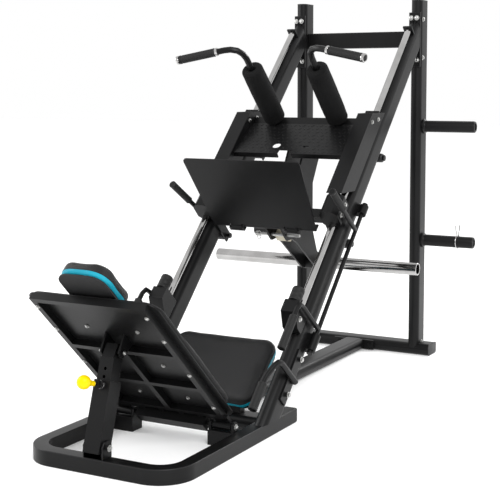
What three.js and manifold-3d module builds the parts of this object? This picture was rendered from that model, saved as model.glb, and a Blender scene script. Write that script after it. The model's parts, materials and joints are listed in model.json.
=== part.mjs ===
// Plate-loaded leg press and hack squat machine.
// Millimetres, +Z up, +X to the right of somebody facing the machine from its low front end,
// +Y towards the uprights. The origin is on the floor, under the middle of the machine.
import * as THREE from "three";
import { mergeVertices } from "three/addons/utils/BufferGeometryUtils.js";
import Module from "manifold-3d";

const wasm = await Module();
wasm.setup();

// ---------------------------------------------------------------- driving dimensions

const GAP = 0.3; // between pieces that touch
const BEAM_Y = 1012.9; // the uprights stand this far behind the origin
const TUBE = 50; // width of every flat-oval tube, and the size of the floor loop's square tube
const OVAL = 100; // long side of the flat-oval tube
const SIDE_X = 276; // uprights, rails and guide rods stand this far either side of the middle

const UPRIGHT_TOP = 1548;
const BEAM_LOW = 1348;
const BEAM_HIGH = 1418;
const REAR_HALF = 350; // half length of the rear floor tube

const SLOPE = THREE.MathUtils.degToRad(45); // rails
const RAIL_FOOT_Y = -1448; // the rails' middle line meets the floor here, from the uprights
const ROD_RISE = 70; // guide rod axis above the rail's middle line
const ROD_RADIUS = 12.5;
const ROD_START = 476;
const ROD_END = 1930;

const LOOP_FRONT = -2008; // outer front face of the floor loop, from the uprights
const LOOP_BACK = -1211;
const LOOP_HALF = 293;
const LOOP_BEND = 120; // outer corner radius

const PEG_RADIUS = 25;
const PEG_END = 535;
const PEG_HEIGHTS = { lower: 507, upper: 1006 };

const BOARD_LEAN = THREE.MathUtils.degToRad(136.4); // tilting board, from +Y round to its upper end
const HINGE = { y: -1558, z: 65 }; // tilting board's hinge, from the uprights and the floor
const BOARD_HALF = 240;
const BOARD_LOW = 20;
const BOARD_HIGH = 667;
const BOARD_FACE = -30; // the board's sheet lies this far behind its tube frame's hinge plane
const SHEET = 3;

const STRUT_FOOT = { y: -1983, z: 84 }; // strut's lower pivot
const BRACKET = { v: 449, w: 20 }; // its upper pivot, along the board and out from it
const STRUT_TOP = {
  y: HINGE.y + BRACKET.v * Math.cos(BOARD_LEAN) - BRACKET.w * Math.sin(BOARD_LEAN) - STRUT_FOOT.y,
  z: HINGE.z + BRACKET.v * Math.sin(BOARD_LEAN) + BRACKET.w * Math.cos(BOARD_LEAN) - STRUT_FOOT.z,
};
const STRUT_REACH = Math.hypot(STRUT_TOP.y, STRUT_TOP.z);
const STRUT_LEAN = -Math.atan2(STRUT_TOP.y, STRUT_TOP.z);

const SEAT_LEAN = THREE.MathUtils.degToRad(39.5);
const SEAT_LOW = { y: -1411, z: 110 }; // lower front edge of the seat's top

const LOCK_X = 320; // lock rod, beside the rail
const LOCK_N = -30;
const LOCK_RADIUS = 8;

const STEEL = new THREE.MeshStandardMaterial({ color: 0x1d1d1f, roughness: 0.45, metalness: 0.6 });
const CHROME = new THREE.MeshStandardMaterial({ color: 0xd4d6d8, roughness: 0.12, metalness: 1 });
const ZINC = new THREE.MeshStandardMaterial({ color: 0xb4b6b4, roughness: 0.35, metalness: 1 });
const RUBBER = new THREE.MeshStandardMaterial({ color: 0x232324, roughness: 0.8, metalness: 0 });
const FOAM = new THREE.MeshStandardMaterial({ color: 0x2b2b2c, roughness: 0.95, metalness: 0 });
const VINYL = new THREE.MeshStandardMaterial({ color: 0x303031, roughness: 0.55, metalness: 0 });
const YELLOW = new THREE.MeshStandardMaterial({ color: 0xf5e400, roughness: 0.4, metalness: 0 });

// ---------------------------------------------------------------- shapes

const X = new THREE.Vector3(1, 0, 0);
const Y = new THREE.Vector3(0, 1, 0);

// Box between two corners.
function box(x0, x1, y0, y1, z0, z1) {
  const shape = new THREE.BoxGeometry(Math.abs(x1 - x0), y1 - y0, z1 - z0);
  return shape.translate((x0 + x1) / 2, (y0 + y1) / 2, (z0 + z1) / 2);
}

// Round bar between two points.
function bar(radius, from, to, sides = 12) {
  const a = new THREE.Vector3(...from);
  const b = new THREE.Vector3(...to);
  const shape = new THREE.CylinderGeometry(radius, radius, a.distanceTo(b), sides);
  const turn = new THREE.Quaternion().setFromUnitVectors(Y, b.clone().sub(a).normalize());
  const middle = a.add(b).multiplyScalar(0.5);
  return shape.applyQuaternion(turn).translate(middle.x, middle.y, middle.z);
}

// Solid of revolution about the X axis: profile holds [radius, x] pairs from axis to axis.
function turned(profile, sides = 16) {
  const points = profile.map(([radius, x]) => new THREE.Vector2(radius, x));
  return new THREE.LatheGeometry(points, sides).rotateZ(-Math.PI / 2);
}

// Outline in the YZ plane, made into a plate between two X values.
function plate(outline, x0, x1) {
  const shape = new THREE.Shape(outline.map(([y, z]) => new THREE.Vector2(y, z)));
  const solid = new THREE.ExtrudeGeometry(shape, { depth: Math.abs(x1 - x0), bevelEnabled: false });
  const basis = new THREE.Matrix4().makeBasis(Y, new THREE.Vector3(0, 0, 1), X);
  return solid.applyMatrix4(basis).translate(Math.min(x0, x1), 0, 0);
}

// Rectangle with round corners, drawn about the origin.
function roundedOutline(width, height, radius) {
  const w = width / 2;
  const h = height / 2;
  const shape = new THREE.Shape();
  shape.moveTo(-w + radius, -h);
  shape.absarc(w - radius, -h + radius, radius, -Math.PI / 2, 0);
  shape.absarc(w - radius, h - radius, radius, 0, Math.PI / 2);
  shape.absarc(-w + radius, h - radius, radius, Math.PI / 2, Math.PI);
  shape.absarc(-w + radius, -h + radius, radius, Math.PI, Math.PI * 1.5);
  return shape;
}

// Flat-oval tube along Z: width across X, depth across Y.
function ovalTube(width, depth, length, grow = 0) {
  const radius = Math.min(width, depth) / 2 + grow - 0.01;
  const outline = roundedOutline(width + 2 * grow, depth + 2 * grow, radius);
  return new THREE.ExtrudeGeometry(outline, { depth: length, bevelEnabled: false, curveSegments: 3 });
}

// Round-cornered slab in the XY plane, from z0 to z1.
function slab(width, height, radius, z0, z1, segments = 3) {
  const outline = roundedOutline(width, height, radius);
  const settings = { depth: z1 - z0, bevelEnabled: false, curveSegments: segments };
  return new THREE.ExtrudeGeometry(outline, settings).translate(0, 0, z0);
}

// Round tube along straight runs whose corners are rounded.
function bentTube(points, radius, bend, sides = 5, steps = 18) {
  const corners = points.map((p) => new THREE.Vector3(...p));
  const path = new THREE.CurvePath();
  let from = corners[0];
  for (let i = 1; i < corners.length - 1; i += 1) {
    const corner = corners[i];
    const into = corner.clone().sub(corners[i - 1]).normalize();
    const out = corners[i + 1].clone().sub(corner).normalize();
    const start = corner.clone().addScaledVector(into, -bend);
    const end = corner.clone().addScaledVector(out, bend);
    path.add(new THREE.LineCurve3(from, start));
    path.add(new THREE.QuadraticBezierCurve3(start, corner, end));
    from = end;
  }
  path.add(new THREE.LineCurve3(from, corners[corners.length - 1]));
  const section = new THREE.Shape().absarc(0, 0, radius, 0, 2 * Math.PI);
  const settings = { steps, extrudePath: path, curveSegments: sides, bevelEnabled: false };
  return new THREE.ExtrudeGeometry(section, settings);
}

// ---------------------------------------------------------------- joining and cutting

function toSolid(geometry) {
  const bare = geometry.clone();
  bare.deleteAttribute("normal");
  bare.deleteAttribute("uv");
  const merged = mergeVertices(bare, 1e-3);
  const mesh = new wasm.Mesh({
    numProp: 3,
    vertProperties: merged.attributes.position.array,
    triVerts: new Uint32Array(merged.index.array),
  });
  return new wasm.Manifold(mesh);
}

function toGeometry(solid) {
  const mesh = solid.getMesh();
  const geometry = new THREE.BufferGeometry();
  geometry.setAttribute("position", new THREE.BufferAttribute(mesh.vertProperties, 3));
  geometry.setIndex(new THREE.BufferAttribute(mesh.triVerts, 1));
  const flat = geometry.toNonIndexed();
  flat.computeVertexNormals();
  return flat;
}

function join(...pieces) {
  return toGeometry(pieces.map(toSolid).reduce((whole, piece) => whole.add(piece)));
}

function shared(one, other) {
  return toGeometry(toSolid(one).intersect(toSolid(other)));
}

function cut(body, ...tools) {
  return toGeometry(tools.map(toSolid).reduce((rest, tool) => rest.subtract(tool), toSolid(body)));
}

// ---------------------------------------------------------------- places

const machine = new THREE.Group();
machine.position.y = BEAM_Y;

// The slope's own frame: x across, y up along the rails, z away from the rails on their upper side.
const slope = new THREE.Group();
slope.position.y = RAIL_FOOT_Y;
slope.rotation.x = SLOPE;

// The tilting board's frame: y up along the board from its hinge, z towards its under side.
const board = new THREE.Group();
board.position.set(0, HINGE.y, HINGE.z);
board.rotation.x = BOARD_LEAN;

// The strut's frame: z up along the strut from its lower pivot.
const strut = new THREE.Group();
strut.position.set(0, STRUT_FOOT.y, STRUT_FOOT.z);
strut.rotation.x = STRUT_LEAN;

// The seat's frame: y up along the seat from its lower edge, z away from its top.
const seat = new THREE.Group();
seat.position.set(0, SEAT_LOW.y, SEAT_LOW.z);
seat.rotation.x = SEAT_LEAN;

machine.add(slope, board, strut, seat);

function add(parent, name, geometry, material) {
  const mesh = new THREE.Mesh(geometry, material);
  mesh.name = name;
  parent.add(mesh);
}

// Something made in the machine's frame, seen from the slope's frame.
function ontoSlope(geometry) {
  slope.updateMatrix();
  return geometry.applyMatrix4(slope.matrix.clone().invert());
}

const SIDES = [
  ["left", -1],
  ["right", 1],
];

// ---------------------------------------------------------------- floor frame

function floorLoop() {
  const inner = LOOP_HALF - TUBE;
  const innerBend = LOOP_BEND - TUBE;
  const shape = new THREE.Shape();
  shape.moveTo(LOOP_HALF, LOOP_BACK);
  shape.lineTo(inner, LOOP_BACK);
  shape.lineTo(inner, LOOP_FRONT + LOOP_BEND);
  shape.absarc(inner - innerBend, LOOP_FRONT + LOOP_BEND, innerBend, 0, -Math.PI / 2, true);
  shape.lineTo(-inner + innerBend, LOOP_FRONT + TUBE);
  shape.absarc(-inner + innerBend, LOOP_FRONT + LOOP_BEND, innerBend, -Math.PI / 2, -Math.PI, true);
  shape.lineTo(-inner, LOOP_BACK);
  shape.lineTo(-LOOP_HALF, LOOP_BACK);
  shape.lineTo(-LOOP_HALF, LOOP_FRONT + LOOP_BEND);
  shape.absarc(-LOOP_HALF + LOOP_BEND, LOOP_FRONT + LOOP_BEND, LOOP_BEND, Math.PI, 1.5 * Math.PI);
  shape.lineTo(LOOP_HALF - LOOP_BEND, LOOP_FRONT);
  shape.absarc(LOOP_HALF - LOOP_BEND, LOOP_FRONT + LOOP_BEND, LOOP_BEND, -Math.PI / 2, 0);
  return new THREE.ExtrudeGeometry(shape, { depth: TUBE, bevelEnabled: false, curveSegments: 8 });
}

// Stub inside the loop's arm that carries one end of the board's hinge, with its two ears and pin.
function hingeStand(side) {
  const wall = LOOP_HALF - TUBE - GAP;
  const inner = 150;
  const stub = box(side * inner, side * wall, HINGE.y - 25, HINGE.y + 35, 0, TUBE);
  const ear = [
    [HINGE.y - 18, TUBE - 2],
    [HINGE.y + 18, TUBE - 2],
    [HINGE.y + 14, HINGE.z + 10],
    [HINGE.y + 6, HINGE.z + 17],
    [HINGE.y - 6, HINGE.z + 17],
    [HINGE.y - 14, HINGE.z + 10],
  ];
  const ears = [inner, wall - 8].map((x) => plate(ear, side * x, side * (x + 8)));
  const pin = bar(8, [side * (inner - 14), HINGE.y, HINGE.z], [side * (wall - 4), HINGE.y, HINGE.z]);
  return join(stub, ...ears, pin);
}

const CROSS_Y = -1350; // cross tube between the loop's arms

function crossTube() {
  const half = LOOP_HALF - TUBE - GAP;
  return ovalTube(TUBE, OVAL, 2 * half)
    .rotateY(Math.PI / 2)
    .translate(-half, CROSS_Y, TUBE / 2);
}

const FLANGE = 8;

// Flat tube along the floor from the cross tube to the rear tube, with a bolted flange behind.
function spineTube() {
  const front = CROSS_Y + OVAL / 2 + GAP;
  const back = -OVAL / 2 - GAP;
  const tube = ovalTube(OVAL, TUBE, back - front - FLANGE + 1)
    .rotateX(-Math.PI / 2)
    .translate(0, front, TUBE / 2);
  const flange = box(-95, 95, back - FLANGE, back, 4, TUBE - 4);
  const bolts = [-74, 74].map((x) => bar(8, [x, back - FLANGE - 9, 27], [x, back - 1, 27], 6));
  return join(tube, flange, ...bolts);
}

function rearTube() {
  return ovalTube(TUBE, OVAL, 2 * REAR_HALF)
    .rotateY(Math.PI / 2)
    .translate(-REAR_HALF, 0, TUBE / 2);
}

// ---------------------------------------------------------------- uprights

function upright(side) {
  const low = TUBE / 2 + 6;
  const post = ovalTube(TUBE, OVAL, UPRIGHT_TOP - low).translate(side * SIDE_X, 0, low);
  const saddle = ovalTube(TUBE, OVAL, 2 * REAR_HALF, GAP)
    .rotateY(Math.PI / 2)
    .translate(-REAR_HALF, 0, TUBE / 2);
  return cut(post, saddle);
}

function crossbeam() {
  const half = SIDE_X - TUBE / 2 - GAP;
  return box(-half, half, -20, 20, BEAM_LOW, BEAM_HIGH);
}

const PLATE_LOW = 1264;
const PLATE_HIGH = 1496;
const PLATE_THICK = 8;
const PLATE_FACE = -OVAL / 2 - GAP - PLATE_THICK;

// Plate that joins a rail's top end to its upright, with its two bolt heads.
function railPlate(side) {
  const x = side * SIDE_X;
  const sheet = box(x - 26, x + 26, PLATE_FACE, PLATE_FACE + PLATE_THICK, PLATE_LOW, PLATE_HIGH);
  const bolts = [-13, 13].map((dx) => bar(8, [x + dx, PLATE_FACE - 9, 1472], [x + dx, PLATE_FACE + 1, 1472], 6));
  return join(sheet, ...bolts);
}

// Storage peg for weight plates: flange, bar and a rounded nose.
function storagePeg(side, height) {
  const root = SIDE_X + TUBE / 2 + GAP;
  const profile = [
    [0, root],
    [32, root],
    [32, root + 8],
    [PEG_RADIUS, root + 10],
    [PEG_RADIUS, PEG_END - 4],
    [PEG_RADIUS - 4, PEG_END],
    [0, PEG_END],
  ];
  const peg = turned(profile, 24).translate(0, 0, height);
  return side > 0 ? peg : peg.rotateZ(Math.PI);
}

// Wire clip that keeps plates on a peg: a ring with two grips that stand up from it.
function springClip() {
  const x = 462;
  const z = PEG_HEIGHTS.lower;
  const radius = PEG_RADIUS + 3;
  const ring = new THREE.TorusGeometry(radius, 2.2, 5, 14).rotateY(Math.PI / 2).translate(x, 0, z);
  const top = z + radius;
  const grips = [-1, 1].map((dy) =>
    bentTube(
      [
        [x, dy * 4, top - 1],
        [x + dy * 5, dy * 12, top + 24],
        [x + dy * 5, dy * 12, top + 46],
      ],
      2.2,
      8,
      3,
      6,
    ),
  );
  return join(ring, ...grips);
}

// ---------------------------------------------------------------- rails and guide rods

const BUSHINGS = [
  [378, 445],
  [1003, 1045],
];

// Inclined rail with its lock rod's bushings and the lug that holds the guide rod's top.
function rail(side) {
  const x = side * SIDE_X;
  const tube = ovalTube(TUBE, OVAL, 2100)
    .rotateX(-Math.PI / 2)
    .translate(x, 0, 0);
  const floorCut = ontoSlope(box(-600, 600, -2400, 400, -400, TUBE + GAP));
  const plateCut = ontoSlope(box(-600, 600, PLATE_FACE - GAP, 700, -400, 2400));
  const lock = side * LOCK_X;
  const bushings = BUSHINGS.map(([a, b]) => bar(17, [lock, a, LOCK_N], [lock, b, LOCK_N]));
  const bores = BUSHINGS.map(([a, b]) =>
    bar(LOCK_RADIUS + 0.7, [lock, a - 2, LOCK_N], [lock, b + 2, LOCK_N], 16),
  );
  const webs = BUSHINGS.map(([a, b]) => box(side * 296, side * 308, a, b, LOCK_N - 12, LOCK_N + 12));
  const lug = box(x - 20, x + 20, ROD_END + GAP, ROD_END + 8, OVAL / 2 - 4, ROD_RISE + 20);
  const whole = join(tube, lug, ...webs, ...bushings);
  return cut(whole, floorCut, plateCut, ...bores);
}

function guideRod(side) {
  const x = side * SIDE_X;
  return bar(ROD_RADIUS, [x, ROD_START + GAP, ROD_RISE], [x, ROD_END, ROD_RISE], 24);
}

// Block on the rail that carries the guide rod's lower end and the bumper.
function stopBlock(side) {
  const x = side * SIDE_X;
  const outline = [
    [ROD_START, OVAL / 2 + GAP],
    [ROD_START, 142],
    [426, 142],
    [392, 88],
    [392, OVAL / 2 + GAP],
  ];
  return plate(outline, x - 30, x + 30);
}

const BUMPER_N = 126;

function bumper(side) {
  const profile = [
    [0, 0],
    [23, 0],
    [23, 51],
    [19, 57],
    [0, 57],
  ];
  return turned(profile)
    .rotateZ(Math.PI / 2)
    .translate(side * SIDE_X, ROD_START + GAP, BUMPER_N);
}

// Fixed hand grip beside the seat: a bolted plate with a bent tube.
function handRail(side) {
  const x = (value) => side * value;
  const outer = SIDE_X + TUBE / 2 + GAP;
  const sheet = box(x(outer), x(outer + 6), 146, 350, -20, 24);
  const bolts = [179, 322].map((y) => bar(8, [x(outer + 5), y, 0], [x(outer + 14), y, 0], 6));
  const tube = bentTube(
    [
      [x(outer + 14), 240, -16],
      [x(outer + 14), 228, 142],
      [x(288), 160, 142],
      [x(288), 34, 142],
    ],
    11,
    26,
  );
  return join(sheet, ...bolts, tube);
}

// Round sleeve between two points, with a bore right through it.
function sleeve(from, to, radius, bore, sides = 14) {
  const a = new THREE.Vector3(...from);
  const b = new THREE.Vector3(...to);
  const run = b.clone().sub(a).normalize();
  const past = [a.clone().addScaledVector(run, -2), b.clone().addScaledVector(run, 2)];
  const tool = bar(bore, past[0].toArray(), past[1].toArray(), 12);
  return cut(bar(radius, from, to, sides), tool);
}

function handGrip(side) {
  const x = side * 288;
  return sleeve([x, 30, 142], [x, 132, 142], 16, 11.4);
}

// ---------------------------------------------------------------- safety locks

// Lock rod with its upper lever and the bent lever beside the seat.
function lockRod(side) {
  const x = side * LOCK_X;
  const rod = bar(LOCK_RADIUS, [x, 366, LOCK_N], [x, 1049, LOCK_N], 16);
  const heads = [366, 1045.5].map((y) => bar(11, [x, y, LOCK_N], [x, y + 9, LOCK_N], 16));
  const upper = bar(9, [x, 926, LOCK_N], [side * 340, 866, 270], 12);
  const lower = bentTube(
    [
      [x, 470, LOCK_N],
      [x, 452, 166],
      [x, 262, 166],
    ],
    9,
    30,
    4,
    14,
  );
  return join(rod, ...heads, upper, lower);
}

function upperLockGrip(side) {
  return sleeve([side * 331.5, 891.5, 142], [side * 340, 866, 270], 14, 9.4);
}

function lowerLockGrip(side) {
  const x = side * LOCK_X;
  return sleeve([x, 258, 166], [x, 392, 166], 15, 9.4);
}

// ---------------------------------------------------------------- carriage

const CHANNEL_INNER = 243;
const CHANNEL_OUTER = 305;
const CHANNEL_LOW = 1105; // the channels' ends are level: along the slope plus out from it
const CHANNEL_HIGH = 1518;
const CHANNEL_FACE = 146;
const CHANNEL_BACK = 56;
const WALL = 5;
const HOUSING_LOW = 870;
const HOUSING_HALF = 37;
const ROLLER_RADIUS = 18;
const ROLLER_N = -OVAL / 2 - ROLLER_RADIUS - 1;
const ROLLERS = [
  ["lower", 890],
  ["upper", 1330],
];

function levelCut(sum, from, to) {
  return [
    [sum - to, to],
    [sum - from, from],
  ];
}

// One side of the carriage: a channel over the guide rod, with a bearing housing at each end.
function carriageSide(side) {
  const x = (value) => side * value;
  const [lowFace, lowBack] = levelCut(CHANNEL_LOW, CHANNEL_BACK, CHANNEL_FACE);
  const [highFace, highBack] = levelCut(CHANNEL_HIGH, CHANNEL_BACK, CHANNEL_FACE);
  const outline = [lowBack, highBack, highFace, lowFace];
  const channel = plate(outline, x(CHANNEL_INNER), x(CHANNEL_OUTER));
  const hollow = box(
    x(CHANNEL_INNER + WALL),
    x(CHANNEL_OUTER - WALL),
    600,
    1700,
    CHANNEL_BACK - 40,
    CHANNEL_FACE - WALL,
  );
  const shell = cut(channel, hollow);
  const lower = octagonBlock(x(SIDE_X - 2), HOUSING_LOW, HOUSING_LOW + 95, HOUSING_HALF, 53, 142);
  const upper = box(x(CHANNEL_INNER + 2), x(CHANNEL_OUTER - 2), 1376, 1430, 53, 100);
  const brackets = ROLLERS.map(([, y]) => box(x(243.5), x(249.5), y - 20, y + 20, ROLLER_N - 16, 62));
  const axles = ROLLERS.map(([, y]) => bar(6, [x(228), y, ROLLER_N], [x(307), y, ROLLER_N]));
  const nuts = ROLLERS.flatMap(([, y]) => [
    bar(11, [x(228), y, ROLLER_N], [x(237), y, ROLLER_N], 6),
    bar(12, [x(302), y, ROLLER_N], [x(308), y, ROLLER_N], 12),
  ]);
  const bore = bar(ROD_RADIUS + 0.7, [x(SIDE_X), 600, ROD_RISE], [x(SIDE_X), 1700, ROD_RISE], 24);
  return cut(join(shell, lower, upper, ...brackets, ...axles, ...nuts), bore);
}

// Roller that runs under the rail and keeps the carriage down on it.
function roller(side, y) {
  return sleeve([side * 252, y, ROLLER_N], [side * 300, y, ROLLER_N], ROLLER_RADIUS, 6.8, 18);
}

// Block along the slope whose section is an octagon.
function octagonBlock(x, y0, y1, half, n0, n1) {
  const chamfer = 18;
  const points = [
    [-half + chamfer, n0],
    [half - chamfer, n0],
    [half, n0 + chamfer],
    [half, n1 - chamfer],
    [half - chamfer, n1],
    [-half + chamfer, n1],
    [-half, n1 - chamfer],
    [-half, n0 + chamfer],
  ];
  const shape = new THREE.Shape(points.map(([px, pn]) => new THREE.Vector2(px, -pn)));
  return new THREE.ExtrudeGeometry(shape, { depth: y1 - y0, bevelEnabled: false })
    .rotateX(-Math.PI / 2)
    .translate(x, y0, 0);
}

const CROSS_HALF = CHANNEL_INNER - GAP;
const UPPER_BAR = 1376; // middle of the carriage's upper cross tube
const LOWER_BAR = 905;
const BAR_N = 74;
const LOAD = { y: 1010, n: -369 };
const LOAD_RADIUS = 25;
const LOAD_HALF = 460;
const PRESS = { y: 836, n: 62 }; // fold axis of the press plate
const PRESS_LUGS = [-152, -98, 88, 142];
const POP = { y: 890, n: -41 };

// Cross tubes and the two cheeks that carry the load bar below the rails.
function carriageFrame() {
  const square = 19;
  const lowerHalf = SIDE_X - 2 - HOUSING_HALF - GAP;
  const bars = [
    [UPPER_BAR, CROSS_HALF],
    [LOWER_BAR, lowerHalf],
  ].map(([y, half]) => box(-half, half, y - square, y + square, BAR_N - square, BAR_N + square));
  const lugs = PRESS_LUGS.map((x) => box(x, x + 10, PRESS.y - 10, LOWER_BAR, PRESS.n - 8, PRESS.n + 10));
  const pins = [-1, 1].map((side) => bar(6, [side * 88, PRESS.y, PRESS.n], [side * 152, PRESS.y, PRESS.n]));
  const cheek = [
    [UPPER_BAR + 10, BAR_N],
    [UPPER_BAR, 56],
    [1307, -34],
    [1184, -67],
    [1049, -201],
    [1012, -300],
    [1034, -352],
    [990, -390],
    [962, -352],
    [924, -133],
    [906, -84],
    [876, -60],
    [874, -24],
    [LOWER_BAR - 19, BAR_N],
    [LOWER_BAR + 19, BAR_N + 10],
    [1040, 20],
    [1140, 60],
    [1240, 88],
    [UPPER_BAR - 19, 86],
  ];
  const cheeks = [-38, 30].map((x) => plate(cheek, x, x + 8));
  const web = plate(
    [
      [1049, -201],
      [1184, -67],
      [1178, -61],
      [1043, -195],
    ],
    -34,
    34,
  );
  const hub = bar(32, [-42, LOAD.y, LOAD.n], [42, LOAD.y, LOAD.n]);
  const hole = bar(LOAD_RADIUS + 0.4, [-60, LOAD.y, LOAD.n], [60, LOAD.y, LOAD.n], 24);
  const popHole = bar(6.8, [-60, POP.y, POP.n], [60, POP.y, POP.n], 16);
  return cut(join(...bars, ...lugs, ...pins, ...cheeks, web, hub), hole, popHole);
}

function loadBar() {
  const tube = bar(LOAD_RADIUS, [-LOAD_HALF, LOAD.y, LOAD.n], [LOAD_HALF, LOAD.y, LOAD.n], 24);
  const open = [-1, 1].map((side) =>
    bar(
      LOAD_RADIUS - 4,
      [side * (LOAD_HALF - 60), LOAD.y, LOAD.n],
      [side * (LOAD_HALF + 5), LOAD.y, LOAD.n],
      16,
    ),
  );
  return cut(tube, ...open);
}

const TREAD_LEAN = Math.atan2(41, -199); // the tread drops towards the front
const TREAD_LENGTH = 203;

// Tread plate between the channels, with a turned-down front lip and its openings.
function treadPlate() {
  const sheet = box(-CROSS_HALF, CROSS_HALF, 0, TREAD_LENGTH, 0, 5);
  const lip = box(-CROSS_HALF, CROSS_HALF, TREAD_LENGTH - 5, TREAD_LENGTH, 0, 22);
  const hole = bar(17, [-66, 150, -10], [-66, 150, 30]);
  const notch = box(-42, 18, 178, TREAD_LENGTH + 5, -10, 30);
  const slot = box(52, 78, 148, 160, -10, 30);
  return cut(join(sheet, lip), hole, notch, slot)
    .rotateX(TREAD_LEAN)
    .translate(0, 1356, 96);
}

const PRESS_LEAN = Math.atan2(52, 329); // the press plate leans up the slope

// Press plate: a sheet that widens upwards, a slotted flange along its foot and its hinge barrels.
function pressPlate() {
  const height = 333;
  const foot = 221;
  const head = 245;
  const bend = 16;
  const shape = new THREE.Shape();
  shape.moveTo(-foot, 0);
  shape.lineTo(foot, 0);
  shape.lineTo(head, height - bend);
  shape.quadraticCurveTo(head, height, head - bend, height);
  shape.lineTo(-head + bend, height);
  shape.quadraticCurveTo(-head, height, -head, height - bend);
  const sheet = new THREE.ExtrudeGeometry(shape, { depth: 5, bevelEnabled: false, curveSegments: 3 })
    .rotateX(Math.PI / 2)
    .translate(0, 5, 0);
  const flange = box(-foot, foot, 0, 30, 0, 5);
  const slots = [-60, 0, 60].map((x) => slab(34, 10, 4.9, -5, 10, 3).translate(x, 19, 0));
  const lean = sheet.rotateX(-PRESS_LEAN);
  const notches = PRESS_LUGS.map((x) => box(x - 1.5, x + 11.5, -20, 40, -10, 13));
  const whole = cut(join(lean, flange), ...slots, ...notches).translate(0, PRESS.y - 3, PRESS.n + 8);
  const barrels = [-1, 1].map((side) =>
    bar(13, [side * 98.5, PRESS.y, PRESS.n], [side * 141.5, PRESS.y, PRESS.n]),
  );
  const bore = bar(6.6, [-200, PRESS.y, PRESS.n], [200, PRESS.y, PRESS.n], 16);
  return cut(join(whole, ...barrels), bore);
}

function popPin() {
  const pin = bar(6, [-90, POP.y, POP.n], [93, POP.y, POP.n]);
  const knob = bar(10, [-100, POP.y, POP.n], [-82, POP.y, POP.n]);
  return join(pin, knob);
}

const HANDLE_X = 142;
const HANDLE_FOOT = BAR_N + 19 + GAP;
const HANDLE_BEND = [142, 1374, 510];
const HANDLE_TIP = [399, 1304, 508];

// Point on a handle's outer run, a distance past its bend.
function alongHandle(side, distance) {
  const bend = new THREE.Vector3(...HANDLE_BEND);
  const run = new THREE.Vector3(...HANDLE_TIP).sub(bend).normalize();
  const point = bend.addScaledVector(run, distance);
  return [side * point.x, point.y, point.z];
}

function handleTube(side) {
  const tube = bentTube(
    [
      [side * HANDLE_X, UPPER_BAR, HANDLE_FOOT],
      [side * HANDLE_BEND[0], HANDLE_BEND[1], HANDLE_BEND[2]],
      alongHandle(side, 261),
    ],
    12.5,
    72,
    5,
    24,
  );
  const foot = bar(18, [side * HANDLE_X, UPPER_BAR, HANDLE_FOOT], [side * HANDLE_X, UPPER_BAR, 98.5]);
  const cap = bar(16, alongHandle(side, 259), alongHandle(side, 271));
  return join(tube, foot, cap);
}

function handleGrip(side) {
  return sleeve(alongHandle(side, 108), alongHandle(side, 258), 17, 13);
}

function foamRoller(side) {
  const x = side * HANDLE_X;
  return sleeve([x, UPPER_BAR, 104], [x, UPPER_BAR, 391], 45, 14.5, 20);
}

// ---------------------------------------------------------------- tilting board

const BOARD_TUBE = 20;
const BOARD_FRAME = 212; // half width over the tube frame
const BOARD_FRONT = -8;

// Board for the back: sheet, tube frame, hinge beam and barrels, and the bracket for the strut.
function tiltBoard() {
  const middle = (BOARD_LOW + BOARD_HIGH) / 2;
  const sheet = slab(2 * BOARD_HALF, BOARD_HIGH - BOARD_LOW, 38, BOARD_FACE - SHEET, BOARD_FACE);
  const outer = BOARD_FRAME;
  const inner = BOARD_FRAME - BOARD_TUBE;
  const base = BOARD_FACE - 1;
  const across = [BOARD_LOW + 12, 200, 390, BOARD_HIGH - BOARD_TUBE];
  const rungs = across.map((v) => box(-outer, outer, v, v + BOARD_TUBE, base, BOARD_FRONT));
  const sides = [-1, 1].map((side) =>
    box(side * inner, side * outer, BOARD_LOW + 12, BOARD_HIGH, base, BOARD_FRONT),
  );
  const spine = box(-10, 10, BOARD_LOW + 12, 400, base, BOARD_FRONT);
  const beam = box(-134, 134, -20, 20, -20, 20);
  const arms = [-115, -40, 40, 115].map((x) => box(x - 9, x + 9, 8, BOARD_LOW + 20, -20, BOARD_FRONT - 1));
  const barrels = [-1, 1].map((side) => bar(13.4, [side * 162, 0, 0], [side * 230, 0, 0]));
  const lugs = [-1, 1].map((side) => box(side * 168, side * 224, 6, BOARD_LOW + 22, -20, BOARD_FRONT - 1));
  const bores = [-1, 1].map((side) => bar(8.7, [side * 135, 0, 0], [side * 240, 0, 0], 16));
  const ear = [
    [BRACKET.v - 30, base],
    [BRACKET.v + 30, base],
    [BRACKET.v + 14, BRACKET.w + 12],
    [BRACKET.v, BRACKET.w + 17],
    [BRACKET.v - 14, BRACKET.w + 12],
  ];
  const ears = [-1, 1].map((side) => plate(ear, side * 31, side * 37));
  const pivot = bar(6, [-44, BRACKET.v, BRACKET.w], [44, BRACKET.v, BRACKET.w]);
  const frame = join(
    sheet.translate(0, middle, 0),
    ...rungs,
    ...sides,
    spine,
    beam,
    ...arms,
    ...barrels,
    ...lugs,
    ...ears,
    pivot,
  );
  return cut(frame, ...bores);
}

// Long back cushion, thinner towards its upper end.
function backPad() {
  const base = BOARD_FACE - SHEET - GAP;
  const profile = [
    [72, base],
    [72, -48],
    [88, -57],
    [365, -57],
    [520, -47],
    [645, -47],
    [660, -42],
    [660, base],
  ];
  const outline = slab(2 * 245, 588, 55, -90, 0).translate(0, 366, 0);
  return shared(plate(profile, -250, 250), outline);
}

// Cushion with a flat back at z = 0 and a rounded front edge.
function cushion(width, height, corner, depth) {
  const edge = 12;
  const outline = roundedOutline(width - 2 * edge, height - 2 * edge, corner - edge);
  const settings = {
    depth: depth - edge,
    bevelThickness: edge,
    bevelSize: edge,
    bevelSegments: 2,
    curveSegments: 4,
  };
  const back = box(-width, width, -height, height, -2 * edge, 0);
  return cut(new THREE.ExtrudeGeometry(outline, settings), back);
}

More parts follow.
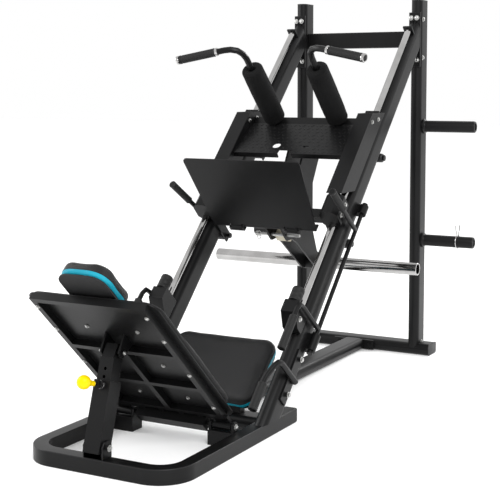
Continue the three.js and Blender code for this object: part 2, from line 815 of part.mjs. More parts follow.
function headPad() {
  return cushion(180, 196, 52, 56)
    .rotateX(Math.PI)
    .translate(0, 662, -47.3);
}

// ---------------------------------------------------------------- strut under the board

const STRUT_OUTER = 30;
const STRUT_INNER = 25;
const LOCK_ALONG = 185; // lock pin, from the strut's lower pivot
const OUTER_TOP = 200;
const HOLE_PITCH = 25;

// Ears on the floor loop's front tube that hold the strut's lower pivot, in the machine's frame.
function strutFoot() {
  const pivot = STRUT_FOOT;
  const ear = [
    [pivot.y - 24, TUBE + GAP],
    [pivot.y + 24, TUBE + GAP],
    [pivot.y + 24, pivot.z + 6],
    [pivot.y + 14, pivot.z + 20],
    [pivot.y - 14, pivot.z + 20],
    [pivot.y - 24, pivot.z + 6],
  ];
  const ears = [-1, 1].map((side) => plate(ear, side * 31, side * 37));
  const base = box(-37, 37, pivot.y - 24, pivot.y + 24, TUBE + GAP, TUBE + 1.2);
  const bolt = bar(6, [-45, pivot.y, pivot.z], [45, pivot.y, pivot.z]);
  return join(...ears, base, bolt);
}

function strutOuter() {
  const wide = STRUT_OUTER;
  const body = box(-wide, wide, -wide, wide, -22, OUTER_TOP);
  const flange = bar(15, [0, -wide + 1, LOCK_ALONG], [0, -wide - 5, LOCK_ALONG], 16);
  const housing = bar(10, [0, -wide - 4, LOCK_ALONG], [0, -wide - 28, LOCK_ALONG], 12);
  const cavity = box(-25.5, 25.5, -25.5, 25.5, 16, OUTER_TOP + 10);
  const pivot = bar(6.8, [-60, 0, 0], [60, 0, 0], 16);
  const bore = bar(5.2, [0, -90, LOCK_ALONG], [0, 0, LOCK_ALONG], 12);
  return cut(join(body, flange, housing), cavity, pivot, bore);
}

const TONGUE_FOOT = 270; // the inner tube ends here, and a narrower tongue goes on to the pivot

function strutInner() {
  const wide = STRUT_INNER;
  const body = box(-wide, wide, -wide, wide, 44, TONGUE_FOOT);
  const tongue = [
    [-wide, TONGUE_FOOT - 4],
    [-9, STRUT_REACH + 25],
    [wide, STRUT_REACH + 25],
    [wide, TONGUE_FOOT - 4],
  ];
  const shape = new THREE.Shape(tongue.map(([py, pz]) => new THREE.Vector2(py, pz)));
  const top = new THREE.ExtrudeGeometry(shape, { depth: 42, bevelEnabled: false })
    .rotateX(Math.PI / 2)
    .rotateZ(Math.PI / 2)
    .translate(-21, 0, 0);
  const cavity = box(-wide + 3, wide - 3, -wide + 3, wide - 3, 34, TONGUE_FOOT - 8);
  const holes = [-2, -1, 0, 1, 2].map((n) => {
    const z = LOCK_ALONG + n * HOLE_PITCH;
    return bar(5.5, [0, -60, z], [0, -10, z], 12);
  });
  const pivot = bar(9, [-60, 0, STRUT_REACH], [60, 0, STRUT_REACH], 20);
  return cut(join(body, top), cavity, ...holes, pivot);
}

// Spring pin with a ball knob; its tip stands just short of the strut's inner tube.
function lockPin() {
  const profile = [
    [0, -25.3],
    [4.5, -25.3],
    [4.5, -72],
    [8, -72],
    [8, -84],
    [11, -97],
    [14, -104.5],
    [18.5, -110],
    [21.4, -117],
    [21.7, -122],
    [20.6, -129],
    [16.5, -136],
    [9, -142],
    [0, -143.7],
  ];
  return turned(profile.reverse()).rotateZ(Math.PI / 2).translate(0, 0, LOCK_ALONG);
}

// ---------------------------------------------------------------- seat

const SEAT_HALF = 206;
const SEAT_LENGTH = 278;
const SEAT_THICK = 50;

function seatPad() {
  return cushion(2 * SEAT_HALF, SEAT_LENGTH, 48, SEAT_THICK).translate(0, SEAT_LENGTH / 2, -SEAT_THICK);
}

// Seat board with the two posts it stands on.
function seatFrame() {
  const face = -SEAT_THICK - GAP;
  const sheet = slab(2 * SEAT_HALF - 20, SEAT_LENGTH - 20, 38, face - 12, face).translate(0, SEAT_LENGTH / 2, 0);
  seat.updateMatrix();
  const intoSeat = seat.matrix.clone().invert();
  const low = TUBE + GAP;
  const front = box(-150, 150, CROSS_Y - 20, CROSS_Y + 20, low, 82).applyMatrix4(intoSeat);
  const rear = box(-45, 45, -1262, -1202, low, 186).applyMatrix4(intoSeat);
  const spare = box(-400, 400, -100, 500, face, 200);
  return cut(join(sheet, front, rear), spare);
}

// ---------------------------------------------------------------- assembly

add(machine, "floor_loop", floorLoop(), STEEL);
add(machine, "cross_tube", crossTube(), STEEL);
add(machine, "spine_tube", spineTube(), STEEL);
add(machine, "rear_tube", rearTube(), STEEL);
add(machine, "crossbeam", crossbeam(), STEEL);
add(machine, "spring_clip", springClip(), CHROME);
add(machine, "strut_foot", strutFoot(), STEEL);
add(strut, "strut_outer", strutOuter(), STEEL);
add(strut, "strut_inner", strutInner(), STEEL);
add(strut, "lock_pin", lockPin(), YELLOW);
add(board, "tilt_board", tiltBoard(), STEEL);
add(board, "back_pad", backPad(), VINYL);
add(board, "head_pad", headPad(), VINYL);
add(seat, "seat_frame", seatFrame(), STEEL);
add(seat, "seat_pad", seatPad(), VINYL);
add(slope, "carriage_frame", carriageFrame(), STEEL);
add(slope, "load_bar", loadBar(), CHROME);
add(slope, "tread_plate", treadPlate(), STEEL);
add(slope, "press_plate", pressPlate(), STEEL);
add(slope, "pop_pin", popPin(), ZINC);

for (const [name, side] of SIDES) {
  add(machine, `hinge_stand_${name}`, hingeStand(side), STEEL);
  add(machine, `upright_${name}`, upright(side), STEEL);
  add(machine, `rail_plate_${name}`, railPlate(side), STEEL);
  add(machine, `upper_peg_${name}`, storagePeg(side, PEG_HEIGHTS.upper), STEEL);
  add(machine, `lower_peg_${name}`, storagePeg(side, PEG_HEIGHTS.lower), STEEL);
  add(slope, `rail_${name}`, rail(side), STEEL);
  add(slope, `guide_rod_${name}`, guideRod(side), CHROME);
  add(slope, `stop_block_${name}`, stopBlock(side), STEEL);
  add(slope, `bumper_${name}`, bumper(side), RUBBER);
  add(slope, `hand_rail_${name}`, handRail(side), STEEL);
  add(slope, `hand_grip_${name}`, handGrip(side), RUBBER);
  add(slope, `lock_rod_${name}`, lockRod(side), ZINC);
  add(slope, `upper_lock_grip_${name}`, upperLockGrip(side), RUBBER);
  add(slope, `lower_lock_grip_${name}`, lowerLockGrip(side), RUBBER);
  add(slope, `carriage_side_${name}`, carriageSide(side), STEEL);
  for (const [place, y] of ROLLERS) {
    add(slope, `${place}_roller_${name}`, roller(side, y), RUBBER);
  }
  add(slope, `handle_tube_${name}`, handleTube(side), STEEL);
  add(slope, `handle_grip_${name}`, handleGrip(side), RUBBER);
  add(slope, `foam_roller_${name}`, foamRoller(side), FOAM);
}

export default machine;
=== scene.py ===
# %% [markdown]
# # A leg press and hack squat machine
# This gym machine is a welded steel frame with two inclined rails. A carriage slides on two chrome
# guide rods between them. The user lies on a tilting board and pushes the folding press plate, or
# stands on the tread plate under the foam rollers.
# The frame already exists as exact solids. This lesson gives them finishes, rounds their edges,
# and makes the soft pieces and the small repeated ones: screws, tread lugs, stitches and caps.

# %% Load the frame and keep its size
import json
import math
import bmesh
import bpy
from mathutils import Matrix, Vector


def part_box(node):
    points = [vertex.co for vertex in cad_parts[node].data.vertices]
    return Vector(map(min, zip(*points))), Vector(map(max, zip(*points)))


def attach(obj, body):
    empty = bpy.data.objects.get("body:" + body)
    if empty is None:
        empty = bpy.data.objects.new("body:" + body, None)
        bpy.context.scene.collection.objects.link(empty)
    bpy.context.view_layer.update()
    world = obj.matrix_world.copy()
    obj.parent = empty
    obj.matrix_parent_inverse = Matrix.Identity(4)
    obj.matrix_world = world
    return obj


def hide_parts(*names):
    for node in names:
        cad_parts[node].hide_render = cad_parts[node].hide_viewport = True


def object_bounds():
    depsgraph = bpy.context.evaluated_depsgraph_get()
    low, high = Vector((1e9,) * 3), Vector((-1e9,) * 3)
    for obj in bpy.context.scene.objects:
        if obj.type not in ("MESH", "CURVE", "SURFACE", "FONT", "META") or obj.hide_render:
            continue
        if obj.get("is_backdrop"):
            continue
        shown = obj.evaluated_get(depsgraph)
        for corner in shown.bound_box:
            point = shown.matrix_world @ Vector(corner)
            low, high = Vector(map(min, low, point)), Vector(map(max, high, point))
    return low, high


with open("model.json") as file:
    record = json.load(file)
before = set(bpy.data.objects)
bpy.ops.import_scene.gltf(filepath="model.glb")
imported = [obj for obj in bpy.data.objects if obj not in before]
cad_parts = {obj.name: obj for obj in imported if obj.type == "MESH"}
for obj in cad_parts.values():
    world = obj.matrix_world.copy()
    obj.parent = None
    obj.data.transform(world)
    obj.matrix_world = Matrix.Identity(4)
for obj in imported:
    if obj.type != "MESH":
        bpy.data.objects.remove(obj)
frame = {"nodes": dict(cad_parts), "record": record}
size_before = [[float(v) for v in corner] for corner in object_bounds()]
print("frame is", [round(b - a, 3) for a, b in zip(*size_before)], "metres")

# %% [markdown]
# ## Four slanted workbenches
# Most pieces lie along the rails, the board, the seat or the strut. Each of these gets its own set
# of axes, so that a piece can be made flat and square, and then moved into place in its mesh.
# The pieces' own objects stay at the origin, unturned.

# %% Axes of the rails, the board, the seat and the strut
S = math.sqrt(0.5)


def bench(x, y, z, origin):
    return Matrix((*zip(x, y, z, origin), (0, 0, 0, 1)))


POST = 1.0129  # the uprights stand this far behind the origin
RAIL_X = 0.276  # the rails, rods and uprights stand this far from the middle
HINGE = (0, POST - 1.558, 0.065)
STRUT_FOOT = (0, POST - 1.983, 0.084)
ACROSS = (1, 0, 0)
SLOPE = bench(ACROSS, (0, S, S), (0, -S, S), (0, POST - 1.448, 0))
BOARD = bench(ACROSS, (0, -0.72417, 0.68962), (0, -0.68962, -0.72417), HINGE)
USER = bench((-1, 0, 0), (0, -0.72417, 0.68962), (0, 0.68962, 0.72417), HINGE)
SEAT = bench(ACROSS, (0, 0.77162, 0.63608), (0, -0.63608, 0.77162), (0, POST - 1.411, 0.110))
STRUT = bench(ACROSS, (0, 0.95472, -0.29751), (0, 0.29751, 0.95472), STRUT_FOOT)
FLOOR = Matrix.Identity(4)
SIDES = (("left", -1), ("right", 1))
print("hinge of the board at", HINGE)

# %% [markdown]
# ## Camera, floor and light
# The machine is seen from its front right side, a little above the seat, with a long lens. The
# floor is plain and pale. Three large soft lamps give the black paint broad, calm highlights.

# %% Camera
camera_data = bpy.data.cameras.new("camera")
camera_data.lens = 83.204
camera_data.sensor_width = 36
camera_data.shift_x = -0.0368
camera_data.shift_y = -0.12
camera_data.clip_end = 60
camera = bpy.data.objects.new("camera", camera_data)
camera.location = (2.0837, -3.7596, 1.1731)
camera.rotation_euler = (math.radians(90 - 5.052), 0, math.radians(28.132))
scene = bpy.context.scene
scene.collection.objects.link(camera)
scene.camera = camera
print("camera at", [round(v, 2) for v in camera.location])

# %% Floor and lights
scene.view_settings.view_transform = "Standard"
world = scene.world or bpy.data.worlds.new("studio")
scene.world = world
world.use_nodes = True
sky = world.node_tree.nodes["Background"]
sky.inputs["Color"].default_value = (1, 1, 1, 1)
sky.inputs["Strength"].default_value = 1.0


def soft_lamp(name, place, aim, width, power):
    data = bpy.data.lights.new(name, "AREA")
    data.shape = "RECTANGLE"
    data.size, data.size_y, data.energy = width, width * 0.7, power
    lamp = bpy.data.objects.new(name, data)
    lamp.location = place
    lamp.rotation_euler = (Vector(aim) - Vector(place)).to_track_quat("-Z", "Y").to_euler()
    scene.collection.objects.link(lamp)


soft_lamp("key_lamp", (3.4, -3.4, 4.2), (0, -0.1, 0.6), 2.6, 210)
soft_lamp("side_lamp", (-4.2, -1.6, 2.6), (0, 0, 0.7), 2.4, 90)
soft_lamp("back_lamp", (1.4, 4.6, 3.6), (0, 0.2, 0.9), 2.6, 130)
FAR = 30  # half the floor's side, in metres
floor_mesh = bpy.data.meshes.new("studio_floor")
corners = [(-FAR, -FAR, 0), (FAR, -FAR, 0), (FAR, FAR, 0), (-FAR, FAR, 0)]
floor_mesh.from_pydata(corners, [], [(0, 1, 2, 3)])
floor = bpy.data.objects.new("studio_floor", floor_mesh)
scene.collection.objects.link(floor)
floor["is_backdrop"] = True
print("three lamps and a floor")

# %% [markdown]
# ## Shader groups
# Each finish shares a few effects: a fine grain in the paint, leather cells in the vinyl, pores in
# the foam. Each effect is one node group with named sizes, so that a finish is only a short recipe.
# The groups hand out colours, masks and normals, and the surface shader stays in the material.

# %% Helpers for node trees
def add_node(tree, kind, numbers=None, **values):
    node = tree.nodes.new(kind)
    for key, value in values.items():
        setattr(node, key, value)
    for label, value in (numbers or {}).items():
        node.inputs[label].default_value = value
    return node


def link(tree, *rows):
    """Each row is a node and its output, then a node and its input."""
    for source, output, target, entry in rows:
        tree.links.new(source.outputs[output], target.inputs[entry])


def of_type(sockets, kind):
    return [socket for socket in sockets if socket.type == kind]


def new_group(name, numbers, detail):
    """A shader group with numbers in, and a detail mask, a slow cloud and a normal out."""
    tree = bpy.data.node_groups.new(name, "ShaderNodeTree")
    for label, value in numbers.items():
        socket = tree.interface.new_socket(label, in_out="INPUT", socket_type="NodeSocketFloat")
        socket.default_value = value
    for label, kind in ((detail, "Float"), ("Cloud", "Float"), ("Normal", "Vector")):
        tree.interface.new_socket(label, in_out="OUTPUT", socket_type="NodeSocket" + kind)
    return tree, add_node(tree, "NodeGroupInput"), add_node(tree, "NodeGroupOutput")


def ramp_of(tree, low, high):
    return add_node(tree, "ShaderNodeMapRange", {"From Min": low, "From Max": high})


def math_node(tree, operation, a, b):
    node = add_node(tree, "ShaderNodeMath", operation=operation)
    for socket, value in zip(node.inputs, (a, b)):
        if isinstance(value, (int, float)):
            socket.default_value = value
        else:
            tree.links.new(value, socket)
    return node.outputs[0]

# %% Group: fine grain of a sprayed or moulded surface
def make_grain_group():
    tree, given, result = new_group("fine_grain", {"Grain": 900, "Depth": 0.1, "Cloud": 7}, "Grain")
    place = add_node(tree, "ShaderNodeTexCoord")
    grain = add_node(tree, "ShaderNodeTexNoise", {"Detail": 3})
    cloud = add_node(tree, "ShaderNodeTexNoise", {"Detail": 5})
    bump = add_node(tree, "ShaderNodeBump", {"Distance": 0.0006})
    link(tree, (place, "Object", grain, "Vector"), (place, "Object", cloud, "Vector"),
         (given, "Grain", grain, "Scale"), (given, "Cloud", cloud, "Scale"),
         (given, "Depth", bump, "Strength"), (grain, "Fac", bump, "Height"),
         (grain, "Fac", result, "Grain"), (cloud, "Fac", result, "Cloud"),
         (bump, "Normal", result, "Normal"))
    return tree


GRAIN = make_grain_group()

# %% Group: cells of grained vinyl, and pores of open foam
def make_cell_group(name, feature, low, high):
    tree, given, result = new_group(name, {"Cells": 420, "Depth": 0.35}, "Cell")
    place = add_node(tree, "ShaderNodeTexCoord")
    wobble = add_node(tree, "ShaderNodeTexNoise", {"Scale": 60})
    mixed = add_node(tree, "ShaderNodeMix", {"Factor": 0.006}, data_type="VECTOR")
    cell = add_node(tree, "ShaderNodeTexVoronoi", feature=feature)
    band = ramp_of(tree, low, high)
    cloud = add_node(tree, "ShaderNodeTexNoise", {"Scale": 9, "Detail": 4})
    bump = add_node(tree, "ShaderNodeBump", {"Distance": 0.0012})
    still, moved = of_type(mixed.inputs, "VECTOR")[:2]
    tree.links.new(place.outputs["Object"], still)
    tree.links.new(wobble.outputs["Color"], moved)
    tree.links.new(of_type(mixed.outputs, "VECTOR")[0], cell.inputs["Vector"])
    link(tree, (place, "Object", wobble, "Vector"), (place, "Object", cloud, "Vector"),
         (given, "Cells", cell, "Scale"), (cell, "Distance", band, "Value"),
         (given, "Depth", bump, "Strength"), (band, "Result", bump, "Height"),
         (band, "Result", result, "Cell"), (cloud, "Fac", result, "Cloud"),
         (bump, "Normal", result, "Normal"))
    return tree


LEATHER = make_cell_group("leather_cells", "DISTANCE_TO_EDGE", 0.0, 0.28)
PORES = make_cell_group("open_pores", "F1", 0.15, 0.5)
print("groups:", [g.name for g in (GRAIN, LEATHER, PORES)])

# %% [markdown]
# ## Finishes
# Every finish mixes two close colours by a slow cloud, varies its roughness by the same cloud, and
# takes its surface detail from one of the groups. Sprayed steel also has a mask on its edges, where
# handling polishes the paint.

# %% One recipe for every finish
def blended(tree, share, first, second):
    """Mixes two colours, each a value or a socket, by a share from 0 to 1."""
    mix = add_node(tree, "ShaderNodeMix", data_type="RGBA")
    tree.links.new(share, mix.inputs["Factor"])
    for socket, colour in zip(of_type(mix.inputs, "RGBA"), (first, second)):
        if isinstance(colour, tuple):
            socket.default_value = (*colour, 1)
        else:
            tree.links.new(colour, socket)
    return of_type(mix.outputs, "RGBA")[0]


def finish(name, group, settings, dark, light, rough, metal=0.0, edge=None, **shader):
    material = bpy.data.materials.new(name)
    material.use_nodes = True
    tree = material.node_tree
    surface = tree.nodes["Principled BSDF"]
    surface.inputs["Metallic"].default_value = metal
    for label, value in shader.items():
        surface.inputs[label.replace("_", " ")].default_value = value
    effect = add_node(tree, "ShaderNodeGroup", settings, node_tree=group)
    cloud = ramp_of(tree, 0.35, 0.65)
    link(tree, (effect, "Cloud", cloud, "Value"), (effect, "Normal", surface, "Normal"))
    fine = effect.outputs[0]
    share = math_node(tree, "ADD", math_node(tree, "MULTIPLY", cloud.outputs["Result"], 0.55),
                      math_node(tree, "MULTIPLY", fine, 0.45))
    colour = blended(tree, share, dark, light)
    gloss = add_node(tree, "ShaderNodeMapRange", {"To Min": rough[0], "To Max": rough[1]})
    tree.links.new(share, gloss.inputs["Value"])
    roughness = gloss.outputs["Result"]
    if edge:
        mark = add_node(tree, "ShaderNodeAttribute", attribute_name="worn_edge")
        broken = ramp_of(tree, 0.45, 0.75)
        tree.links.new(fine, broken.inputs["Value"])
        patchy = math_node(tree, "MULTIPLY", broken.outputs["Result"], 0.5)
        mask = math_node(tree, "MULTIPLY", mark.outputs["Fac"], math_node(tree, "ADD", patchy, 0.4))
        colour = blended(tree, mask, colour, edge)
        polish = math_node(tree, "MULTIPLY", mask, 0.12)
        roughness = math_node(tree, "SUBTRACT", roughness, polish)
    tree.links.new(colour, surface.inputs["Base Color"])
    tree.links.new(roughness, surface.inputs["Roughness"])
    return material

# %% The machine's finishes
BLACK = finish("black_powder_coat", GRAIN, {"Grain": 700, "Depth": 0.16, "Cloud": 5},
               (0.0032, 0.0032, 0.0034), (0.0065, 0.0065, 0.0068), (0.30, 0.40),
               edge=(0.026, 0.026, 0.027), Specular_IOR_Level=0.17)
CHROME = finish("bright_chrome", GRAIN, {"Grain": 350, "Depth": 0.03, "Cloud": 12},
                (0.36, 0.355, 0.35), (0.52, 0.515, 0.51), (0.08, 0.17), metal=1.0)
ZINC = finish("zinc_plate", GRAIN, {"Grain": 500, "Depth": 0.12, "Cloud": 25},
              (0.42, 0.42, 0.41), (0.58, 0.58, 0.57), (0.26, 0.4), metal=1.0)
VINYL = finish("black_vinyl", LEATHER, {"Cells": 520, "Depth": 0.32},
               (0.0034, 0.0034, 0.0037), (0.0078, 0.0078, 0.0084), (0.34, 0.46),
               Specular_IOR_Level=0.22, Sheen_Weight=0.02)
CYAN = finish("cyan_vinyl", LEATHER, {"Cells": 520, "Depth": 0.28},
              (0.001, 0.245, 0.345), (0.003, 0.315, 0.425), (0.36, 0.48), Specular_IOR_Level=0.25)
BACKING = finish("backing_board", GRAIN, {"Grain": 260, "Depth": 0.3, "Cloud": 20},
                 (0.006, 0.006, 0.0065), (0.012, 0.012, 0.0125), (0.55, 0.7),
                 Specular_IOR_Level=0.3)
FOAM = finish("black_foam", PORES, {"Cells": 560, "Depth": 0.5},
              (0.0015, 0.0015, 0.0016), (0.010, 0.010, 0.0103), (0.78, 0.92), Sheen_Weight=0.01,
              Sheen_Roughness=0.6, Specular_IOR_Level=0.1)
RUBBER = finish("black_rubber", GRAIN, {"Grain": 420, "Depth": 0.3, "Cloud": 18},
                (0.004, 0.004, 0.004), (0.01, 0.01, 0.0102), (0.5, 0.65), Specular_IOR_Level=0.28)
CAP = finish("moulded_cap", GRAIN, {"Grain": 260, "Depth": 0.2, "Cloud": 30},
             (0.006, 0.006, 0.0065), (0.012, 0.012, 0.0125), (0.42, 0.55), Specular_IOR_Level=0.32)
ROLLER = finish("roller_nylon", GRAIN, {"Grain": 300, "Depth": 0.15, "Cloud": 25},
                (0.008, 0.008, 0.0085), (0.016, 0.016, 0.0165), (0.38, 0.5),
                Specular_IOR_Level=0.35)
YELLOW = finish("yellow_knob", GRAIN, {"Grain": 200, "Depth": 0.06, "Cloud": 20},
                (0.80, 0.57, 0.001), (0.92, 0.66, 0.002), (0.24, 0.34), Specular_IOR_Level=0.15)
PALE = finish("pale_plastic", GRAIN, {"Grain": 260, "Depth": 0.15, "Cloud": 30},
              (0.52, 0.47, 0.35), (0.62, 0.57, 0.45), (0.4, 0.5))
THREAD = finish("black_thread", GRAIN, {"Grain": 1500, "Depth": 0.5, "Cloud": 60},
                (0.014, 0.014, 0.015), (0.03, 0.03, 0.032), (0.6, 0.75))
STUDIO = finish("studio_floor", GRAIN, {"Grain": 90, "Depth": 0.02, "Cloud": 0.5},
                (0.93, 0.93, 0.93), (0.95, 0.95, 0.95), (0.55, 0.65), Specular_IOR_Level=0.1,
                Emission_Color=(1, 1, 1, 1), Emission_Strength=0.1)
floor_mesh.materials.append(STUDIO)
print(len(bpy.data.materials), "finishes")

# %% [markdown]
# ## From solid to finished part
# A solid from the frame is made of loose triangles with knife edges. A real tube or plate has a
# small radius on each edge, which catches the light. So a copy is merged, its flat faces are made
# whole again, and each edge is bevelled. The bevel also carries the mark for worn paint.

# %% Helpers for meshes
def loose_object(name, data):
    thing = bpy.data.objects.new(name, data)
    scene.collection.objects.link(thing)
    return thing


def put(name, mesh, body, material, slot, *nodes):
    if material and not mesh.materials:
        mesh.materials.append(material)
    piece = loose_object(name, mesh)
    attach(piece, body)
    if nodes:
        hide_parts(*nodes)
    return piece


def applied(thing, name):
    """The mesh that an object's modifiers give. The object itself goes."""
    bpy.context.view_layer.update()
    graph = bpy.context.evaluated_depsgraph_get()
    mesh = bpy.data.meshes.new_from_object(thing.evaluated_get(graph), depsgraph=graph)
    mesh.name = name
    bpy.data.objects.remove(thing)
    return mesh


def shaped(name, data, *steps):
    """Runs modifiers on a mesh. Each step is a modifier's kind and its settings."""
    thing = loose_object(name, data)
    for kind, settings in steps:
        modifier = thing.modifiers.new(kind.lower(), kind)
        for key, value in settings.items():
            setattr(modifier, key, value)
    return applied(thing, name)


def smooth_but(mesh, degrees):
    """Smooth faces, with sharp edges past an angle."""
    mesh.shade_smooth()
    mesh.set_sharp_from_angle(angle=math.radians(degrees))


def edge_bevel(width, segments, degrees):
    return "BEVEL", {"width": width, "segments": segments, "limit_method": "ANGLE",
                     "angle_limit": math.radians(degrees)}


def mesh_of(model, name):
    mesh = bpy.data.meshes.new(name)
    model.to_mesh(mesh)
    model.free()
    return mesh


# Faces with many notches keep their triangles, because a whole face would shade badly.
CROWDED = ("tilt_board", "carriage_frame", "press_plate", "tread_plate")


def merged(node):
    mesh = frame["nodes"][node].data.copy()
    mesh.materials.clear()
    model = bmesh.new()
    model.from_mesh(mesh)
    bmesh.ops.remove_doubles(model, verts=model.verts, dist=2e-5)
    if node not in CROWDED:
        bmesh.ops.dissolve_limit(model, angle_limit=math.radians(0.6), verts=model.verts,
                                 edges=model.edges)
    for face in model.faces:
        face.smooth = True
    model.to_mesh(mesh)
    model.free()
    return mesh


def finished(node, body, material, slot, width):
    """Bevels a node's edges. The bevel's own faces carry the mark for worn paint."""
    mesh = merged(node)
    for _ in range(2):
        mesh.materials.append(material)
    kind, settings = edge_bevel(width, 2, 35)
    mesh = shaped(node + "_work", mesh, (kind, {**settings, "material": 1}),
                  ("TRIANGULATE", {"min_vertices": 5}), ("WEIGHTED_NORMAL", {"keep_sharp": True}))
    mark = mesh.attributes.new("worn_edge", "FLOAT", "FACE")
    for index, face in enumerate(mesh.polygons):
        mark.data[index].value = float(face.material_index == 1)
        face.material_index = 0
    mesh.materials.clear()
    return put(node + "_finished", mesh, body, material, slot, node)

# %% Bevel the steel parts
NARROW_BEVEL, RAIL_BEVEL = 0.0014, 0.003
WIDE = {"floor_loop": 0.003, "spine_tube": 0.003, "rear_tube": 0.004, "cross_tube": 0.003,
        "crossbeam": 0.004, "seat_frame": 0.002, "carriage_frame": 0.002, "tread_plate": 0.0012,
        "press_plate": 0.0012, "tilt_board": 0.0012, "strut_outer": 0.003, "strut_inner": 0.0025}
IN_BODY = {node: body for body, members in frame["record"]["behaviour"]["bodies"].items()
           for node in members}
STEEL_NODES = list(WIDE) + ["strut_foot"]
for side, _ in SIDES:
    STEEL_NODES += [f"{part}_{side}" for part in
                    ("hinge_stand", "upright", "rail_plate", "rail", "stop_block", "carriage_side",
                     "lock_rod", "hand_rail", "handle_tube")]
faces = 0
for node in STEEL_NODES:
    long_part = node.startswith(("upright", "rail_l", "rail_r"))
    width = WIDE.get(node, RAIL_BEVEL if long_part else NARROW_BEVEL)
    piece = finished(node, IN_BODY[node], BLACK, "painted_steel", width)
    faces += len(piece.data.polygons)
print(len(STEEL_NODES), "steel parts,", faces, "faces")

# %% [markdown]
# ## Turned and drawn round parts
# Guide rods, pegs, the load bar, bumpers, rollers and grips are all round. Each is one outline
# turned about its own line. Many sides keep the chrome's reflections smooth, and a small step at
# each end shows where the real one is machined.

# %% Helper: turn an outline about a line
def turned(name, outline, axes, start, towards, sides=48):
    """outline is a list of (radius, distance along the line from start)."""
    line = Vector(towards) - Vector(start)
    turn = axes @ Matrix.Translation(start) @ line.to_track_quat("Z", "Y").to_matrix().to_4x4()
    model = bmesh.new()
    points = [model.verts.new((r, 0, z)) for r, z in outline]
    edges = [model.edges.new(pair) for pair in zip(points, points[1:])]
    bmesh.ops.spin(model, geom=points + edges, cent=(0, 0, 0), axis=(0, 0, 1),
                   angle=2 * math.pi, steps=sides, use_merge=True)
    bmesh.ops.remove_doubles(model, verts=model.verts, dist=1e-6)
    bmesh.ops.recalc_face_normals(model, faces=model.faces)
    mesh = mesh_of(model, name)
    mesh.transform(turn)
    smooth_but(mesh, 38)
    return mesh


def joined(name, *meshes):
    model = bmesh.new()
    for mesh in meshes:
        model.from_mesh(mesh)
    return mesh_of(model, name)


def rod(radius, length, chamfer=0.0015):
    return [(0, 0), (radius - chamfer, 0), (radius, chamfer), (radius, length - chamfer),
            (radius - chamfer, length), (0, length)]

# %% Guide rods, pegs and load bar
LOW_PEG_Z, HIGH_PEG_Z = 0.507, 1.006
for side, k in SIDES:
    x = k * RAIL_X
    mesh = turned(f"guide_rod_{side}", rod(0.0125, 1.4535), SLOPE,
                  (x, 0.4764, 0.070), (x, 1.93, 0.070))
    put(f"guide_rod_{side}_bright", mesh, "frame", CHROME, "chrome", f"guide_rod_{side}")
    for level, height in (("lower", LOW_PEG_Z), ("upper", HIGH_PEG_Z)):
        low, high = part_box(f"{level}_peg_{side}")
        root = low.x if k > 0 else high.x
        long = high.x - low.x
        outline = [(0, 0), (0.032, 0), (0.032, 0.0065), (0.0305, 0.008), (0.0285, 0.0085),
                   (0.0262, 0.011), (0.025, 0.015), (0.025, long - 0.005),
                   (0.0235, long - 0.0015), (0.021, long), (0.017, long),
                   (0.0158, long - 0.0012), (0.0155, long - 0.004), (0, long - 0.004)]
        peg = f"{level}_peg_{side}"
        mesh = turned(peg, outline, FLOOR, (root, POST, height), (root + k, POST, height))
        put(peg + "_round", mesh, "frame", BLACK, "painted_steel", peg)
low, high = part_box("load_bar")
outline = [(0, 0.06), (0.0205, 0.06), (0.0205, 0.001), (0.0215, 0), (0.024, 0), (0.025, 0.0012)]
long = high.x - low.x
outline += [(r, long - z) for r, z in reversed(outline)]
mid = (low + high) / 2
mesh = turned("load_bar", outline, FLOOR, (low.x, mid.y, mid.z), (high.x, mid.y, mid.z), 56)
put("load_bar_bright", mesh, "carriage", CHROME, "chrome", "load_bar")
print("load bar is", round(long, 3), "long")

# %% Bumpers and rollers
for side, k in SIDES:
    x = k * RAIL_X
    outline = [(0, 0), (0.0225, 0), (0.023, 0.001), (0.023, 0.012), (0.0218, 0.014),
               (0.0218, 0.017), (0.023, 0.019), (0.023, 0.033), (0.0218, 0.035),
               (0.0218, 0.038), (0.023, 0.040), (0.023, 0.049), (0.0215, 0.0545),
               (0.017, 0.0568), (0.006, 0.057), (0.005, 0.055), (0, 0.055)]
    mesh = turned(f"bumper_{side}", outline, SLOPE, (x, 0.4763, 0.126), (x, 1, 0.126))
    put(f"bumper_{side}_turned", mesh, "frame", RUBBER, "rubber", f"bumper_{side}")
    for level, along in (("lower", 0.890), ("upper", 1.330)):
        outline = [(0.0068, 0), (0.0155, 0), (0.0175, 0.002), (0.018, 0.006), (0.018, 0.042),
                   (0.0175, 0.046), (0.0155, 0.048), (0.0068, 0.048), (0.0068, 0)]
        roller = f"{level}_roller_{side}"
        mesh = turned(roller, outline, SLOPE, (k * 0.252, along, -0.069),
                      (k * 0.300, along, -0.069), 40)
        put(roller + "_turned", mesh, roller, ROLLER, "roller_plastic", roller)
print("2 bumpers, 4 rollers")

# %% [markdown]
# ## Hand grips
# Each grip is a rubber sleeve pushed over its tube. Its ends are thicker, and shallow ribs run
# round it so that a sweaty hand holds. The load is on the rings, so their edges are soft.

# %% Helper and the eight grips
def grip(node, body, start, towards, radius, bore, rib=0.005, depth=0.0006):
    long = (Vector(towards) - Vector(start)).length
    waist = radius - 0.001
    outline = [(bore, 0.0), (radius - 0.0015, 0.0), (radius, 0.0015), (radius, 0.006),
               (waist, 0.0075)]
    z = 0.0095
    while z < long - 0.0125:
        outline += [(waist, z), (waist + depth, z + rib * 0.2), (waist + depth, z + rib * 0.6),
                    (waist, z + rib * 0.8)]
        z += rib
    outline += [(waist, long - 0.0075), (radius, long - 0.006), (radius, long - 0.0015),
                (radius - 0.0015, long), (bore, long), (bore, 0.0)]
    mesh = turned(node, outline, SLOPE, start, towards, 36)
    put(node + "_ribbed", mesh, body, RUBBER, "grip_rubber", node)


